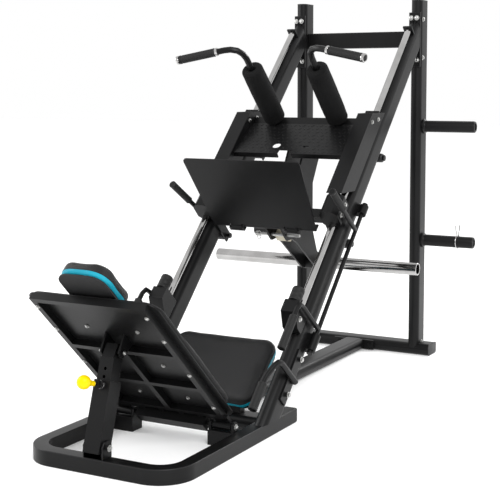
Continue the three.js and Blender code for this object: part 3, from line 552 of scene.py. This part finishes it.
for side, k in SIDES:
    grip(f"hand_grip_{side}", "frame", (k * 0.288, 0.030, 0.142), (k * 0.288, 0.132, 0.142),
         0.016, 0.0114)
    grip(f"upper_lock_grip_{side}", f"lock_{side}", (k * 0.3315, 0.8915, 0.142),
         (k * 0.340, 0.866, 0.270), 0.014, 0.0094)
    grip(f"lower_lock_grip_{side}", f"lock_{side}", (k * 0.320, 0.258, 0.166),
         (k * 0.320, 0.392, 0.166), 0.015, 0.0094)
bend, tip = Vector((0.142, 1.374, 0.510)), Vector((0.399, 1.304, 0.508))
run = (tip - bend).normalized()


def on_handle(k, distance):
    point = bend + run * distance
    return (k * point.x, point.y, point.z)


for side, k in SIDES:
    grip(f"handle_grip_{side}", "carriage", on_handle(k, 0.108), on_handle(k, 0.258),
         0.017, 0.013)
    collar = [(0.0127, 0), (0.0155, 0), (0.0165, 0.001), (0.0165, 0.0095), (0.0155, 0.0105),
              (0.0127, 0.0105), (0.0127, 0)]
    ring = turned("collar", collar, SLOPE, on_handle(k, 0.0972), on_handle(k, 0.11))
    stopper = [(0.0125, 0), (0.0165, 0), (0.0172, 0.001), (0.0172, 0.0085), (0.0162, 0.0105),
               (0.0125, 0.0115), (0.0115, 0.0095), (0, 0.009), (0, 0.006), (0.0125, 0.006),
               (0.0125, 0)]
    plug = turned("plug", stopper, SLOPE, on_handle(k, 0.2605), on_handle(k, 0.3))
    trim = f"handle_trim_{side}"
    put(trim, joined(trim, ring, plug), "carriage", CHROME, "chrome")
print("8 grips, 2 pairs of chrome rings")

# %% [markdown]
# ## Knob, pins and clip
# The strut is locked by a spring pin with a bright ball knob in a threaded housing. The pop pin
# holds the folding press plate, and a bent wire clip keeps the plates on a storage peg.

# %% Lock pin with its ball knob
PIN = STRUT @ Matrix.Translation((0, 0, 0.185))


def on_pin(name, outline, sides):
    return turned(name, outline, PIN, (0, 0, 0), (0, -1, 0), sides)


ball_outline = [(0.0044, 0.0725), (0.0078, 0.0725), (0.0084, 0.0735), (0.0084, 0.0835),
                (0.0092, 0.088), (0.0108, 0.096), (0.0135, 0.1035), (0.0172, 0.1085),
                (0.0202, 0.1135), (0.0217, 0.1205), (0.0213, 0.1268), (0.0192, 0.1328),
                (0.0155, 0.1378), (0.0108, 0.1412), (0.0055, 0.1432), (0, 0.1437)]
ball = on_pin("knob", ball_outline, 56)
put("lock_knob_ball", ball, "lock_pin", YELLOW, "yellow_knob", "lock_pin")
shank = [(0, 0.0253), (0.0033, 0.0253), (0.0045, 0.0266), (0.0045, 0.0728), (0, 0.0728)]
put("lock_pin_shank", on_pin("shank", shank, 24), "lock_pin", CHROME, "chrome")
rings = [(0.0101, 0.0475), (0.0136, 0.0475), (0.0146, 0.0487), (0.0146, 0.0533), (0.0136, 0.0545),
         (0.0101, 0.0545), (0.0101, 0.0475)]
put("lock_nut", on_pin("lock_nut", rings, 6), "strut_outer", BLACK, "painted_steel")
rings = [(0.0101, 0.0352), (0.0132, 0.0352), (0.0136, 0.0358), (0.0136, 0.0368),
         (0.0132, 0.0374), (0.0101, 0.0374), (0.0101, 0.0352)]
put("lock_washer", on_pin("lock_washer", rings, 40), "strut_outer", CHROME, "chrome")
print("knob faces:", len(ball.polygons))

# %% Pop pin, its ring, and the storage clip
def wire(name, points, radius, closed=False, axes=FLOOR):
    curve = bpy.data.curves.new(name, "CURVE")
    curve.dimensions = "3D"
    curve.bevel_depth, curve.bevel_resolution, curve.resolution_u = radius, 4, 8
    line = curve.splines.new("BEZIER")
    line.bezier_points.add(len(points) - 1)
    for knot, point in zip(line.bezier_points, points):
        knot.co = point
        knot.handle_left_type = knot.handle_right_type = "AUTO"
    line.use_cyclic_u = closed
    curve.use_fill_caps = not closed
    mesh = shaped(name, curve)
    mesh.transform(axes)
    mesh.shade_smooth()
    mesh.materials.clear()
    return mesh


outline = [(0, 0), (0.0085, 0), (0.010, 0.0015), (0.010, 0.0165), (0.0085, 0.018), (0.006, 0.018),
           (0.006, 0.190), (0.0045, 0.193), (0, 0.193)]
PIN_ALONG, RING = 0.890, 0.015
mesh = turned("pop_pin", outline, SLOPE, (-0.100, PIN_ALONG, -0.041),
              (0.093, PIN_ALONG, -0.041), 32)
put("pop_pin_turned", mesh, "pop_pin", ZINC, "zinc", "pop_pin")
ring = [(-0.091, PIN_ALONG + RING * math.cos(a), -0.056 + RING * math.sin(a) + 0.003)
        for a in [i * math.pi / 6 for i in range(12)]]
put("pop_pin_ring", wire("pop_pin_ring", ring, 0.0013, True, SLOPE), "pop_pin", ZINC, "zinc")
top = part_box("spring_clip")[1].z
COIL = 0.0274
loop = []
for i in range(25):
    a = math.radians(100 + i * 340 / 24)
    loop.append((0.460 + 0.004 * i / 24, POST + COIL * math.cos(a), LOW_PEG_Z + COIL * math.sin(a)))
first = [(0.457, POST - 0.012, top - 0.002), (0.4575, POST - 0.010, top - 0.02)]
last = [(0.4665, POST + 0.010, top - 0.02), (0.467, POST + 0.012, top - 0.002)]
mesh = wire("spring_clip_wire", first + loop + last, 0.0022)
put("spring_clip_wire", mesh, "spring_clip", CHROME, "chrome", "spring_clip")
print("clip top at", round(top, 3))

# %% [markdown]
# ## Cushions
# A gym cushion is a foam block on a board, with vinyl pulled over it and stapled behind. The foam
# pushes the cover out, so the face is slightly crowned and the edges are soft. A cloth simulation
# with a little pressure gives that form: it starts a few millimetres small and swells to size.
# The seams are drawn afterwards, because the remesh that the cloth needs would wipe them out.

# %% Helper: rounded outline of a cushion
def rounded_outline(width, height, corner, steps=10):
    points = []
    x, y = width / 2 - corner, height / 2 - corner
    for cx, cy, start in ((x, y, 0), (-x, y, 90), (-x, -y, 180), (x, -y, 270)):
        for i in range(steps + 1):
            a = math.radians(start + 90 * i / steps)
            points.append((cx + corner * math.cos(a), cy + corner * math.sin(a)))
    return points


def block(name, outline, low, high):
    model = bmesh.new()
    base = [model.verts.new((x, y, low)) for x, y in outline]
    face = model.faces.new(base)
    made = bmesh.ops.extrude_face_region(model, geom=[face])
    for vert in (v for v in made["geom"] if isinstance(v, bmesh.types.BMVert)):
        vert.co.z = high
    bmesh.ops.recalc_face_normals(model, faces=model.faces)
    return mesh_of(model, name)

# %% Helper: swell a block with cloth
LAST_FRAME = 20


def inflated(name, mesh, pressure):
    thing = loose_object(name, mesh)
    settings = thing.modifiers.new("cloth", "CLOTH").settings
    settings.use_pressure, settings.uniform_pressure_force = True, pressure
    settings.effector_weights.gravity = 0
    settings.quality = 4
    settings.tension_stiffness = settings.compression_stiffness = 18
    settings.bending_stiffness = 1.5
    for number in range(1, LAST_FRAME + 1):
        scene.frame_set(number)
    swelled = applied(thing, name)
    scene.frame_set(1)
    return swelled


def swollen(name, mesh, floor_z, edge, cap, voxel=0.006, pressure=4.0, smoothing=6):
    """Swells a block by no more than cap, and never below its floor."""
    cells = {"mode": "VOXEL", "voxel_size": voxel, "use_smooth_shade": True}
    rest = shaped(name, mesh, edge_bevel(edge, 4, 50), ("REMESH", cells))
    start = [v.co.copy() for v in rest.vertices]
    rest = inflated(name, rest, pressure)
    for vert, was in zip(rest.vertices, start):
        step = vert.co - was
        if step.length > cap:
            vert.co = was + step * (cap / step.length)
        vert.co.z = max(vert.co.z, floor_z)
    mesh = shaped(name, rest, ("SMOOTH", {"factor": 0.5, "iterations": smoothing}),
                  ("SUBSURF", {"levels": 1}))
    mesh.shade_smooth()
    return mesh

# %% Helper: fit the swollen form into its space and cut its bands of colour
def fitted(mesh, low, high):
    for i in range(3):
        values = [v.co[i] for v in mesh.vertices]
        least, most = min(values), max(values)
        for vert in mesh.vertices:
            vert.co[i] = low[i] + (vert.co[i] - least) / (most - least) * (high[i] - low[i])
    return mesh


def banded(mesh, height):
    """Faces of the side wall below the height take the second finish. Returns the seam's edges."""
    model = bmesh.new()
    model.from_mesh(mesh)
    bmesh.ops.bisect_plane(model, geom=model.verts[:] + model.edges[:] + model.faces[:],
                           plane_co=(0, 0, height), plane_no=(0, 0, 1))
    for face in model.faces:
        face.smooth = True
        if face.calc_center_median().z < height and abs(face.normal.z) < 0.8:
            face.material_index = 1
    seam = [tuple(v.co.copy() for v in edge.verts) for edge in model.edges
            if all(abs(v.co.z - height) < 1e-5 for v in edge.verts)]
    model.to_mesh(mesh)
    model.free()
    return seam

# %% [markdown]
# ## Seams made by Geometry Nodes
# Where two panels of vinyl meet, the cover has a rounded seam and a row of stitches beside it. The
# seam's line becomes a curve. One node tree sweeps the welt along it, and another sets a stitch
# at every few millimetres.

# %% Node trees: a welt and stitches along a line
def geometry_tree(name, *inputs):
    tree = bpy.data.node_groups.new(name, "GeometryNodeTree")
    inputs += (("Material", "Material", None),)
    for label, kind, value in (("Geometry", "Geometry", None),) + inputs:
        socket = tree.interface.new_socket(label, in_out="INPUT", socket_type="NodeSocket" + kind)
        if value is not None:
            socket.default_value = value
    tree.interface.new_socket("Geometry", in_out="OUTPUT", socket_type="NodeSocketGeometry")
    return tree, add_node(tree, "NodeGroupInput"), add_node(tree, "NodeGroupOutput")


def made_real(tree, given, result, shape, output):
    """Every tree ends like this: instances become real, and the finish is set."""
    real = add_node(tree, "GeometryNodeRealizeInstances")
    paint = add_node(tree, "GeometryNodeSetMaterial")
    link(tree, (shape, output, real, "Geometry"), (real, "Geometry", paint, "Geometry"),
         (given, "Material", paint, "Material"), (paint, "Geometry", result, "Geometry"))
    return tree


def lens(tree, segments, rings, sizes):
    """A sphere flattened to three sizes, each a socket."""
    ball = add_node(tree, "GeometryNodeMeshUVSphere",
                    {"Segments": segments, "Rings": rings, "Radius": 0.5})
    size = add_node(tree, "ShaderNodeCombineXYZ")
    for source, entry in zip(sizes, size.inputs):
        tree.links.new(source, entry)
    shape = add_node(tree, "GeometryNodeTransform")
    link(tree, (ball, "Mesh", shape, "Geometry"), (size, "Vector", shape, "Scale"))
    return shape


def make_welt_tree():
    tree, given, result = geometry_tree("welt_along_line", ("Radius", "Float", 0.0012),
                                        ("Spacing", "Float", 0.004))
    to_curve = add_node(tree, "GeometryNodeMeshToCurve")
    even = add_node(tree, "GeometryNodeResampleCurve", mode="LENGTH")
    round_line = add_node(tree, "GeometryNodeCurvePrimitiveCircle", {"Resolution": 8})
    sweep = add_node(tree, "GeometryNodeCurveToMesh")
    link(tree, (given, "Geometry", to_curve, "Mesh"), (to_curve, "Curve", even, "Curve"),
         (given, "Spacing", even, "Length"), (given, "Radius", round_line, "Radius"),
         (even, "Curve", sweep, "Curve"), (round_line, "Curve", sweep, "Profile Curve"))
    return made_real(tree, given, result, sweep, "Mesh")


def make_stitch_tree():
    tree, given, result = geometry_tree("stitches_along_line", ("Length", "Float", 0.0032),
                                        ("Thread", "Float", 0.0005), ("Spacing", "Float", 0.005))
    to_curve = add_node(tree, "GeometryNodeMeshToCurve")
    points = add_node(tree, "GeometryNodeCurveToPoints", mode="LENGTH")
    shape = lens(tree, 8, 6, [given.outputs[label] for label in ("Thread", "Thread", "Length")])
    lay = add_node(tree, "GeometryNodeInstanceOnPoints")
    link(tree, (given, "Geometry", to_curve, "Mesh"), (to_curve, "Curve", points, "Curve"),
         (given, "Spacing", points, "Length"), (points, "Points", lay, "Points"),
         (points, "Rotation", lay, "Rotation"), (shape, "Geometry", lay, "Instance"))
    return made_real(tree, given, result, lay, "Instances")

# %% Helper: run a node tree on a mesh
def grown(name, mesh, tree, axes, **values):
    thing = loose_object(name, mesh)
    modifier = thing.modifiers.new("grow", "NODES")
    modifier.node_group = tree
    for socket in tree.interface.items_tree:
        if socket.in_out == "INPUT" and socket.name in values:
            modifier[socket.identifier] = values[socket.name]
    made = applied(thing, name)
    made.transform(axes)
    smooth_but(made, 40)
    return made


def lines(name, pairs, lift=0.0):
    """A mesh of edges from pairs of points, raised by lift."""
    up = Vector((0, 0, lift))
    model = bmesh.new()
    for a, b in pairs:
        model.edges.new((model.verts.new(a + up), model.verts.new(b + up)))
    bmesh.ops.remove_doubles(model, verts=model.verts, dist=1e-5)
    bmesh.ops.dissolve_degenerate(model, dist=2e-4, edges=model.edges)
    return mesh_of(model, name)


WELT, STITCH = make_welt_tree(), make_stitch_tree()
print("trees:", WELT.name, STITCH.name)

# %% [markdown]
# ## Seat, back and head cushions
# The seat is a thick cushion with a bright side band below its seam. The back cushion is thin and
# as wide as the board, and gets thinner towards the head. The head cushion stands proud of it: a
# bright band at its foot, then the black cover with its crowned face.

# %% Helper: one cushion with its welt and its stitches
def cushion(part, body, node, axes, size, corner, swell, band, floor_z=0.0, small=0.004,
            crown=0.0, shape=None):
    """size is width, height and thickness; band is the seam's height, the finish below it, the
    welt's radius and spacing, and the stitches' height over the seam and thickness."""
    width, height, thick = size
    seam_z, below, welt_radius, welt_step, row_lift, thread = band
    name = part + "_cushion"
    outline = rounded_outline(width - 2 * small, height - 2 * small, corner)
    mesh = swollen(name, block(name, outline, floor_z, thick - small), floor_z, **swell)
    mesh = fitted(mesh, (-width / 2, -height / 2, floor_z), (width / 2, height / 2, thick + crown))
    if shape:
        shape(mesh, height, thick)
    for material in (VINYL, below):
        mesh.materials.append(material)
    seam = banded(mesh, seam_z)
    welt = grown(part + "_welt", lines(part + "_line", seam), WELT, axes, Radius=welt_radius,
                 Spacing=welt_step, Material=VINYL)
    row = grown(part + "_stitches", lines(part + "_row", seam, row_lift), STITCH, axes,
                Length=0.0034, Thread=thread, Spacing=0.0055, Material=THREAD)
    mesh.transform(axes)
    piece = put(name, mesh, body, None, "upholstery", node)
    put(part + "_welt", welt, body, None, "upholstery")
    put(part + "_stitches", row, body, None, "upholstery")
    print(part, "cushion:", len(mesh.polygons), "faces")

# %% Seat cushion
seat_size = (0.412, 0.278, 0.050)
cushion("seat", IN_BODY["seat_pad"], "seat_pad",
        SEAT @ Matrix.Translation((0, 0.139, -seat_size[2])), seat_size, 0.046,
        {"edge": 0.010, "cap": 0.007}, (0.024, CYAN, 0.0011, 0.005, 0.0035, 0.0009))

# %% Back cushion
LOW_V, HIGH_V = 0.072, 0.660  # distances from the hinge, up the board


def thinned(mesh, height, thick):
    """The upper part of the back cushion is a centimetre thinner."""
    for vert in mesh.vertices:
        v = vert.co.y + height / 2
        thin = min(1.0, max(0.0, (v - 0.29) / 0.155))
        thin = thin * thin * (3 - 2 * thin)
        vert.co.z *= 1 - thin * 0.0100 / thick


back_size = (0.490, HIGH_V - LOW_V, 0.0237)
cushion("back", "tilt_board", "back_pad",
        USER @ Matrix.Translation((0, LOW_V + back_size[1] / 2, 0.0333)), back_size, 0.055,
        {"edge": 0.007, "cap": 0.005, "voxel": 0.0055, "pressure": 3.0},
        (0.0085, VINYL, 0.0009, 0.006, -0.003, 0.0008), shape=thinned)

# %% Head cushion on its board
head_size, board_top = (0.180, 0.196, 0.056), 0.0052
axes = USER @ Matrix.Translation((0, 0.662, 0.0473))
outline = rounded_outline(head_size[0] - 0.006, head_size[1] - 0.006, 0.049)
backing = block("head_board", outline, 0.0003, board_top)
backing.transform(axes)
put("head_board", backing, "tilt_board", BACKING, "upholstery")
cushion("head", "tilt_board", "head_pad", axes, head_size, 0.050,
        {"edge": 0.009, "cap": 0.003, "voxel": 0.0045, "smoothing": 10},
        (0.024, CYAN, 0.0010, 0.005, 0.0035, 0.0009), board_top, 0.003, 0.003)

# %% [markdown]
# ## Foam rollers
# The shoulder rollers are cut from open foam, so their surface is a field of pores. The foam is
# soft: its ends are rounded, its middle stands a little proud, and it closes round its sleeve.

# %% Two foam rollers
def foam_roller(side, k):
    long, radius, bore, shoulder = 0.287, 0.045, 0.0145, 0.012
    bend = [(radius - 0.0135 + shoulder * math.sin(a), shoulder - shoulder * math.cos(a))
            for a in [math.radians(15 * i) for i in range(1, 7)]]
    outline = [(bore, 0.0035), (bore + 0.004, 0.0012), (bore + 0.010, 0.0), (radius - 0.013, 0.0)]
    outline += bend
    for i in range(1, 24):
        share = i / 24
        crown = 0.0015 * math.sin(math.pi * share) ** 0.6
        dent = 0.0004 * math.sin(9.0 * share + k) + 0.0003 * math.sin(23 * share)
        outline.append((radius - 0.0015 + crown - abs(dent),
                        shoulder + share * (long - 2 * shoulder)))
    outline += [(r, long - z) for r, z in reversed(bend)]
    outline += [(radius - 0.013, long), (bore + 0.010, long), (bore + 0.004, long - 0.0012),
                (bore, long - 0.0035), (bore, 0.0035)]
    node = f"foam_roller_{side}"
    mesh = turned(node, outline, SLOPE, (k * 0.142, 1.376, 0.104), (k * 0.142, 1.376, 0.391), 72)
    piece = put(node + "_soft", mesh, node, FOAM, "foam", node)
    print(side, "roller:", len(mesh.polygons), "faces")


for side, k in SIDES:
    foam_roller(side, k)

# %% [markdown]
# ## Screws
# Sixty-six screw heads show. Each is the same few shapes at another place, so one node
# tree puts a head and its washer on every point of a small mesh. Each point carries the direction
# its screw faces. Every body gets its own screws, so that they move with it.

# %% Node tree: a screw head on every point
WASHER_THICK = 0.0012


def make_screw_tree():
    tree, given, result = geometry_tree(
        "screw_heads", ("Head", "Float", 0.007), ("Height", "Float", 0.005), ("Corners", "Int", 6),
        ("Washer", "Float", 0.0095))
    head = add_node(tree, "GeometryNodeMeshCylinder")
    dome = add_node(tree, "GeometryNodeMeshCone")
    ring = add_node(tree, "GeometryNodeMeshCylinder", {"Vertices": 24, "Depth": WASHER_THICK})
    tall = given.outputs["Height"]
    cap = math_node(tree, "MULTIPLY", tall, 0.25)
    narrow = math_node(tree, "MULTIPLY", given.outputs["Head"], 0.72)
    middle = math_node(tree, "ADD", math_node(tree, "MULTIPLY", tall, 0.5), WASHER_THICK)
    above = math_node(tree, "ADD", tall, WASHER_THICK)
    whole = add_node(tree, "GeometryNodeJoinGeometry")
    for node, level in ((head, middle), (dome, above), (ring, None)):
        up = add_node(tree, "ShaderNodeCombineXYZ", {"Z": WASHER_THICK / 2})
        if level is not None:
            tree.links.new(level, up.inputs["Z"])
        move = add_node(tree, "GeometryNodeTransform")
        link(tree, (node, "Mesh", move, "Geometry"), (up, "Vector", move, "Translation"),
             (move, "Geometry", whole, "Geometry"))
    tree.links.new(narrow, dome.inputs["Radius Top"])
    tree.links.new(cap, dome.inputs["Depth"])
    facing = add_node(tree, "GeometryNodeInputNamedAttribute", data_type="FLOAT_VECTOR")
    facing.inputs["Name"].default_value = "facing"
    align = add_node(tree, "FunctionNodeAlignRotationToVector", axis="Z")
    lay = add_node(tree, "GeometryNodeInstanceOnPoints")
    link(tree, (given, "Head", head, "Radius"), (given, "Height", head, "Depth"),
         (given, "Corners", head, "Vertices"), (given, "Washer", ring, "Radius"),
         (given, "Corners", dome, "Vertices"), (given, "Head", dome, "Radius Bottom"),
         (facing, "Attribute", align, "Vector"), (align, "Rotation", lay, "Rotation"),
         (given, "Geometry", lay, "Points"), (whole, "Geometry", lay, "Instance"))
    return made_real(tree, given, result, lay, "Instances")


SCREWS = make_screw_tree()


def screws(name, body, spots, head, height, corners, washer):
    """spots is a list of (axes, place, direction)."""
    mesh = bpy.data.meshes.new(name)
    mesh.from_pydata([axes @ Vector(place) for axes, place, _ in spots], [], [])
    facing = mesh.attributes.new("facing", "FLOAT_VECTOR", "POINT")
    for i, (axes, _, way) in enumerate(spots):
        facing.data[i].vector = axes.to_3x3() @ Vector(way)
    mesh = grown(name, mesh, SCREWS, FLOOR, Head=head, Height=height, Corners=corners,
                 Washer=washer, Material=ZINC)
    put(name, mesh, body, None, "zinc")
    print(name, len(spots))

# %% Where the screws are
OUT, INWARDS, BACKWARDS, UP, DOWN = (1, 0, 0), (-1, 0, 0), (0, 1, 0), (0, 0, 1), (0, 0, -1)


def both(*rows):
    """Each row is axes, x, y, z and a direction on the right. The left one is its mirror."""
    return [(axes, (k * x, y, z), (k * way[0], way[1], way[2]))
            for axes, x, y, z, way in rows for _, k in SIDES]


spots = []
for k in (-1, 1):
    for dx in (-0.013, 0.013):
        spots.append((FLOOR, (k * RAIL_X + dx, POST - 0.0673, 1.472), (0, -1, 0)))
        spots.append((FLOOR, (k * RAIL_X + dx, POST - 0.0585, 1.292), (0, -1, 0)))
spots += both((SLOPE, 0.3155, 0.179, 0.0, OUT), (SLOPE, 0.3155, 0.322, 0.0, OUT),
              (SLOPE, 0.3065, 0.425, 0.098, OUT), (SLOPE, RAIL_X, 1.9385, 0.078, BACKWARDS),
              (FLOOR, 0.3015, POST - 0.026, 1.467, OUT), (FLOOR, 0.3015, POST - 0.026, 1.303, OUT),
              (FLOOR, 0.3015, POST, 0.052, OUT), (FLOOR, RAIL_X, POST + 0.0505, 0.9, BACKWARDS),
              (FLOOR, 0.0455, *STRUT_FOOT[1:], OUT), (FLOOR, 0.2435, *HINGE[1:], OUT))
screws("frame_screws", "frame", spots, 0.0075, 0.005, 6, 0.0105)

spots = both((BOARD, 0.044, 0.449, 0.020, OUT))
for v in (0.105, 0.305, 0.500, 0.625):
    spots += both((BOARD, 0.095, v, -0.0298, UP), (BOARD, 0.202, v, -0.0078, UP))
screws("board_screws", "tilt_board", spots, 0.0055, 0.0032, 16, 0.0075)

spots = []
for along, proud in ((1.345, 0.125), (1.395, 0.088)):
    spots += both((SLOPE, 0.2428, along, proud, INWARDS), (SLOPE, 0.3052, along, proud, OUT))
spots += both((SLOPE, 0.3112, 0.893, 0.098, OUT), (SLOPE, 0.3112, 0.945, 0.098, OUT),
              (SLOPE, 0.142, 1.376, 0.0545, DOWN), (SLOPE, 0.0425, 1.010, -0.345, OUT))
screws("carriage_screws", "carriage", spots, 0.0065, 0.0042, 6, 0.009)

spots = [(SLOPE, (x, 0.852, 0.0752), UP) for x in (-0.105, -0.03, 0.03, 0.105)]
screws("press_screws", "press_plate", spots, 0.0045, 0.003, 6, 0.0065)

# %% [markdown]
# ## Tread plate
# Feet must not slip on the tread plate, so it is rolled with raised lugs, in pairs that lie across
# each other. A grid of points carries each lug's turn, and a node tree lays a flat lens on each.

# %% Node tree: a lug on every point
def make_lug_tree():
    tree, given, result = geometry_tree("tread_lugs", ("Length", "Float", 0.016),
                                        ("Width", "Float", 0.0045), ("Height", "Float", 0.0012))
    tall = math_node(tree, "MULTIPLY", given.outputs["Height"], 2.0)
    shape = lens(tree, 16, 8, (given.outputs["Length"], given.outputs["Width"], tall))
    turn = add_node(tree, "GeometryNodeInputNamedAttribute", data_type="FLOAT")
    turn.inputs["Name"].default_value = "turn"
    angles = add_node(tree, "ShaderNodeCombineXYZ")
    lay = add_node(tree, "GeometryNodeInstanceOnPoints")
    link(tree, (turn, "Attribute", angles, "Z"), (given, "Geometry", lay, "Points"),
         (angles, "Vector", lay, "Rotation"), (shape, "Geometry", lay, "Instance"))
    return made_real(tree, given, result, lay, "Instances")

# %% Lugs on the tread plate
TREAD = (SLOPE @ Matrix.Translation((0, 1.356, 0.096))
         @ Matrix.Rotation(math.atan2(41, -199), 4, "X"))


def in_opening(x, y):
    return (math.hypot(x + 0.066, y - 0.150) < 0.026 or (-0.052 < x < 0.028 and y > 0.168)
            or (0.042 < x < 0.088 and 0.138 < y < 0.170))


PITCH, ROW = 0.0194, 0.0222  # spacing along a row, and between rows
points, turns = [], []
for row in range(9):
    for column in range(25):
        x = -0.2325 + column * PITCH + (PITCH / 2 if row % 2 else 0)
        y = 0.0125 + row * ROW
        if abs(x) < 0.234 and not in_opening(x, y):
            points.append((x, y, -0.0001))
            turns.append(math.radians(45 if (row + column) % 2 else -45))
spots = bpy.data.meshes.new("lug_spots")
spots.from_pydata(points, [], [])
turn = spots.attributes.new("turn", "FLOAT", "POINT")
for i, angle in enumerate(turns):
    turn.data[i].value = angle
lugs = grown("tread_lugs", spots, make_lug_tree(), TREAD, Length=0.0165, Width=0.0046,
             Height=0.0013, Material=BLACK)
put("tread_lugs", lugs, "carriage", None, "painted_steel")
print(len(points), "lugs")

# %% [markdown]
# ## Caps and small trim
# An open tube end is closed with a moulded cap: a domed lid with a thin rim on the tube's edge.
# The uprights, the rear floor tube and the floor loop's arms all have one.

# %% Moulded end caps
def cap_mesh(width, depth, corner, axes, rim=0.0028):
    lid = block("cap", rounded_outline(width, depth, corner, 6), 0, rim)
    made = shaped("cap", lid, edge_bevel(0.0016, 3, 30))
    made.transform(axes)
    smooth_but(made, 50)
    return made


def at(x, y, z, degrees=0, axis="X"):
    return Matrix.Translation((x, y, z)) @ Matrix.Rotation(math.radians(degrees), 4, axis)


caps = []
for side, k in SIDES:
    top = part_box(f"upright_{side}")[1].z
    caps.append(cap_mesh(0.0505, 0.1005, 0.024, at(k * RAIL_X, POST, top), 0.003))
    low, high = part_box("rear_tube")
    end = high.x if k > 0 else low.x
    place = at(end, (low.y + high.y) / 2, (low.z + high.z) / 2, 90 * k, "Y")
    caps.append(cap_mesh(high.z - low.z, high.y - low.y, 0.012, place))
    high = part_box("floor_loop")[1]
    caps.append(cap_mesh(0.050, 0.050, 0.006, at(k * (high.x - 0.025), high.y, 0.025, -90)))
put("end_caps", joined("end_caps", *caps), "frame", CAP, "roller_plastic")
print(len(caps), "caps")

# %% Pale block between the carriage's cheeks
HALF, CUT = 0.0297, 0.004  # half its width, and the cut on its lower corners
near, far, under, over = 0.899, 0.935, -0.097, -0.062
outline = [(near + CUT, under), (far - CUT, under), (far, under + CUT), (far, over), (near, over),
           (near, under + CUT)]
model = bmesh.new()
made = bmesh.ops.extrude_face_region(
    model, geom=[model.faces.new([model.verts.new((-HALF, a, n)) for a, n in outline])])
for vert in (v for v in made["geom"] if isinstance(v, bmesh.types.BMVert)):
    vert.co.x = HALF
bmesh.ops.recalc_face_normals(model, faces=model.faces)
bmesh.ops.bevel(model, geom=model.edges[:], offset=0.0015, segments=2, affect="EDGES", profile=0.5)
pad = mesh_of(model, "pale_block")
pad.transform(SLOPE)
put("pale_block", pad, "carriage", PALE, "roller_plastic")
print("block between the cheeks")

# %% [markdown]
# ## The end
# The size of the finished model is kept beside the size of the bare frame.

# %% Size and finish
size_after = [[float(v) for v in corner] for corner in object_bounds()]
for before, after in zip(size_before, size_after):
    print("size changed by", [round(b - a, 4) for a, b in zip(before, after)])
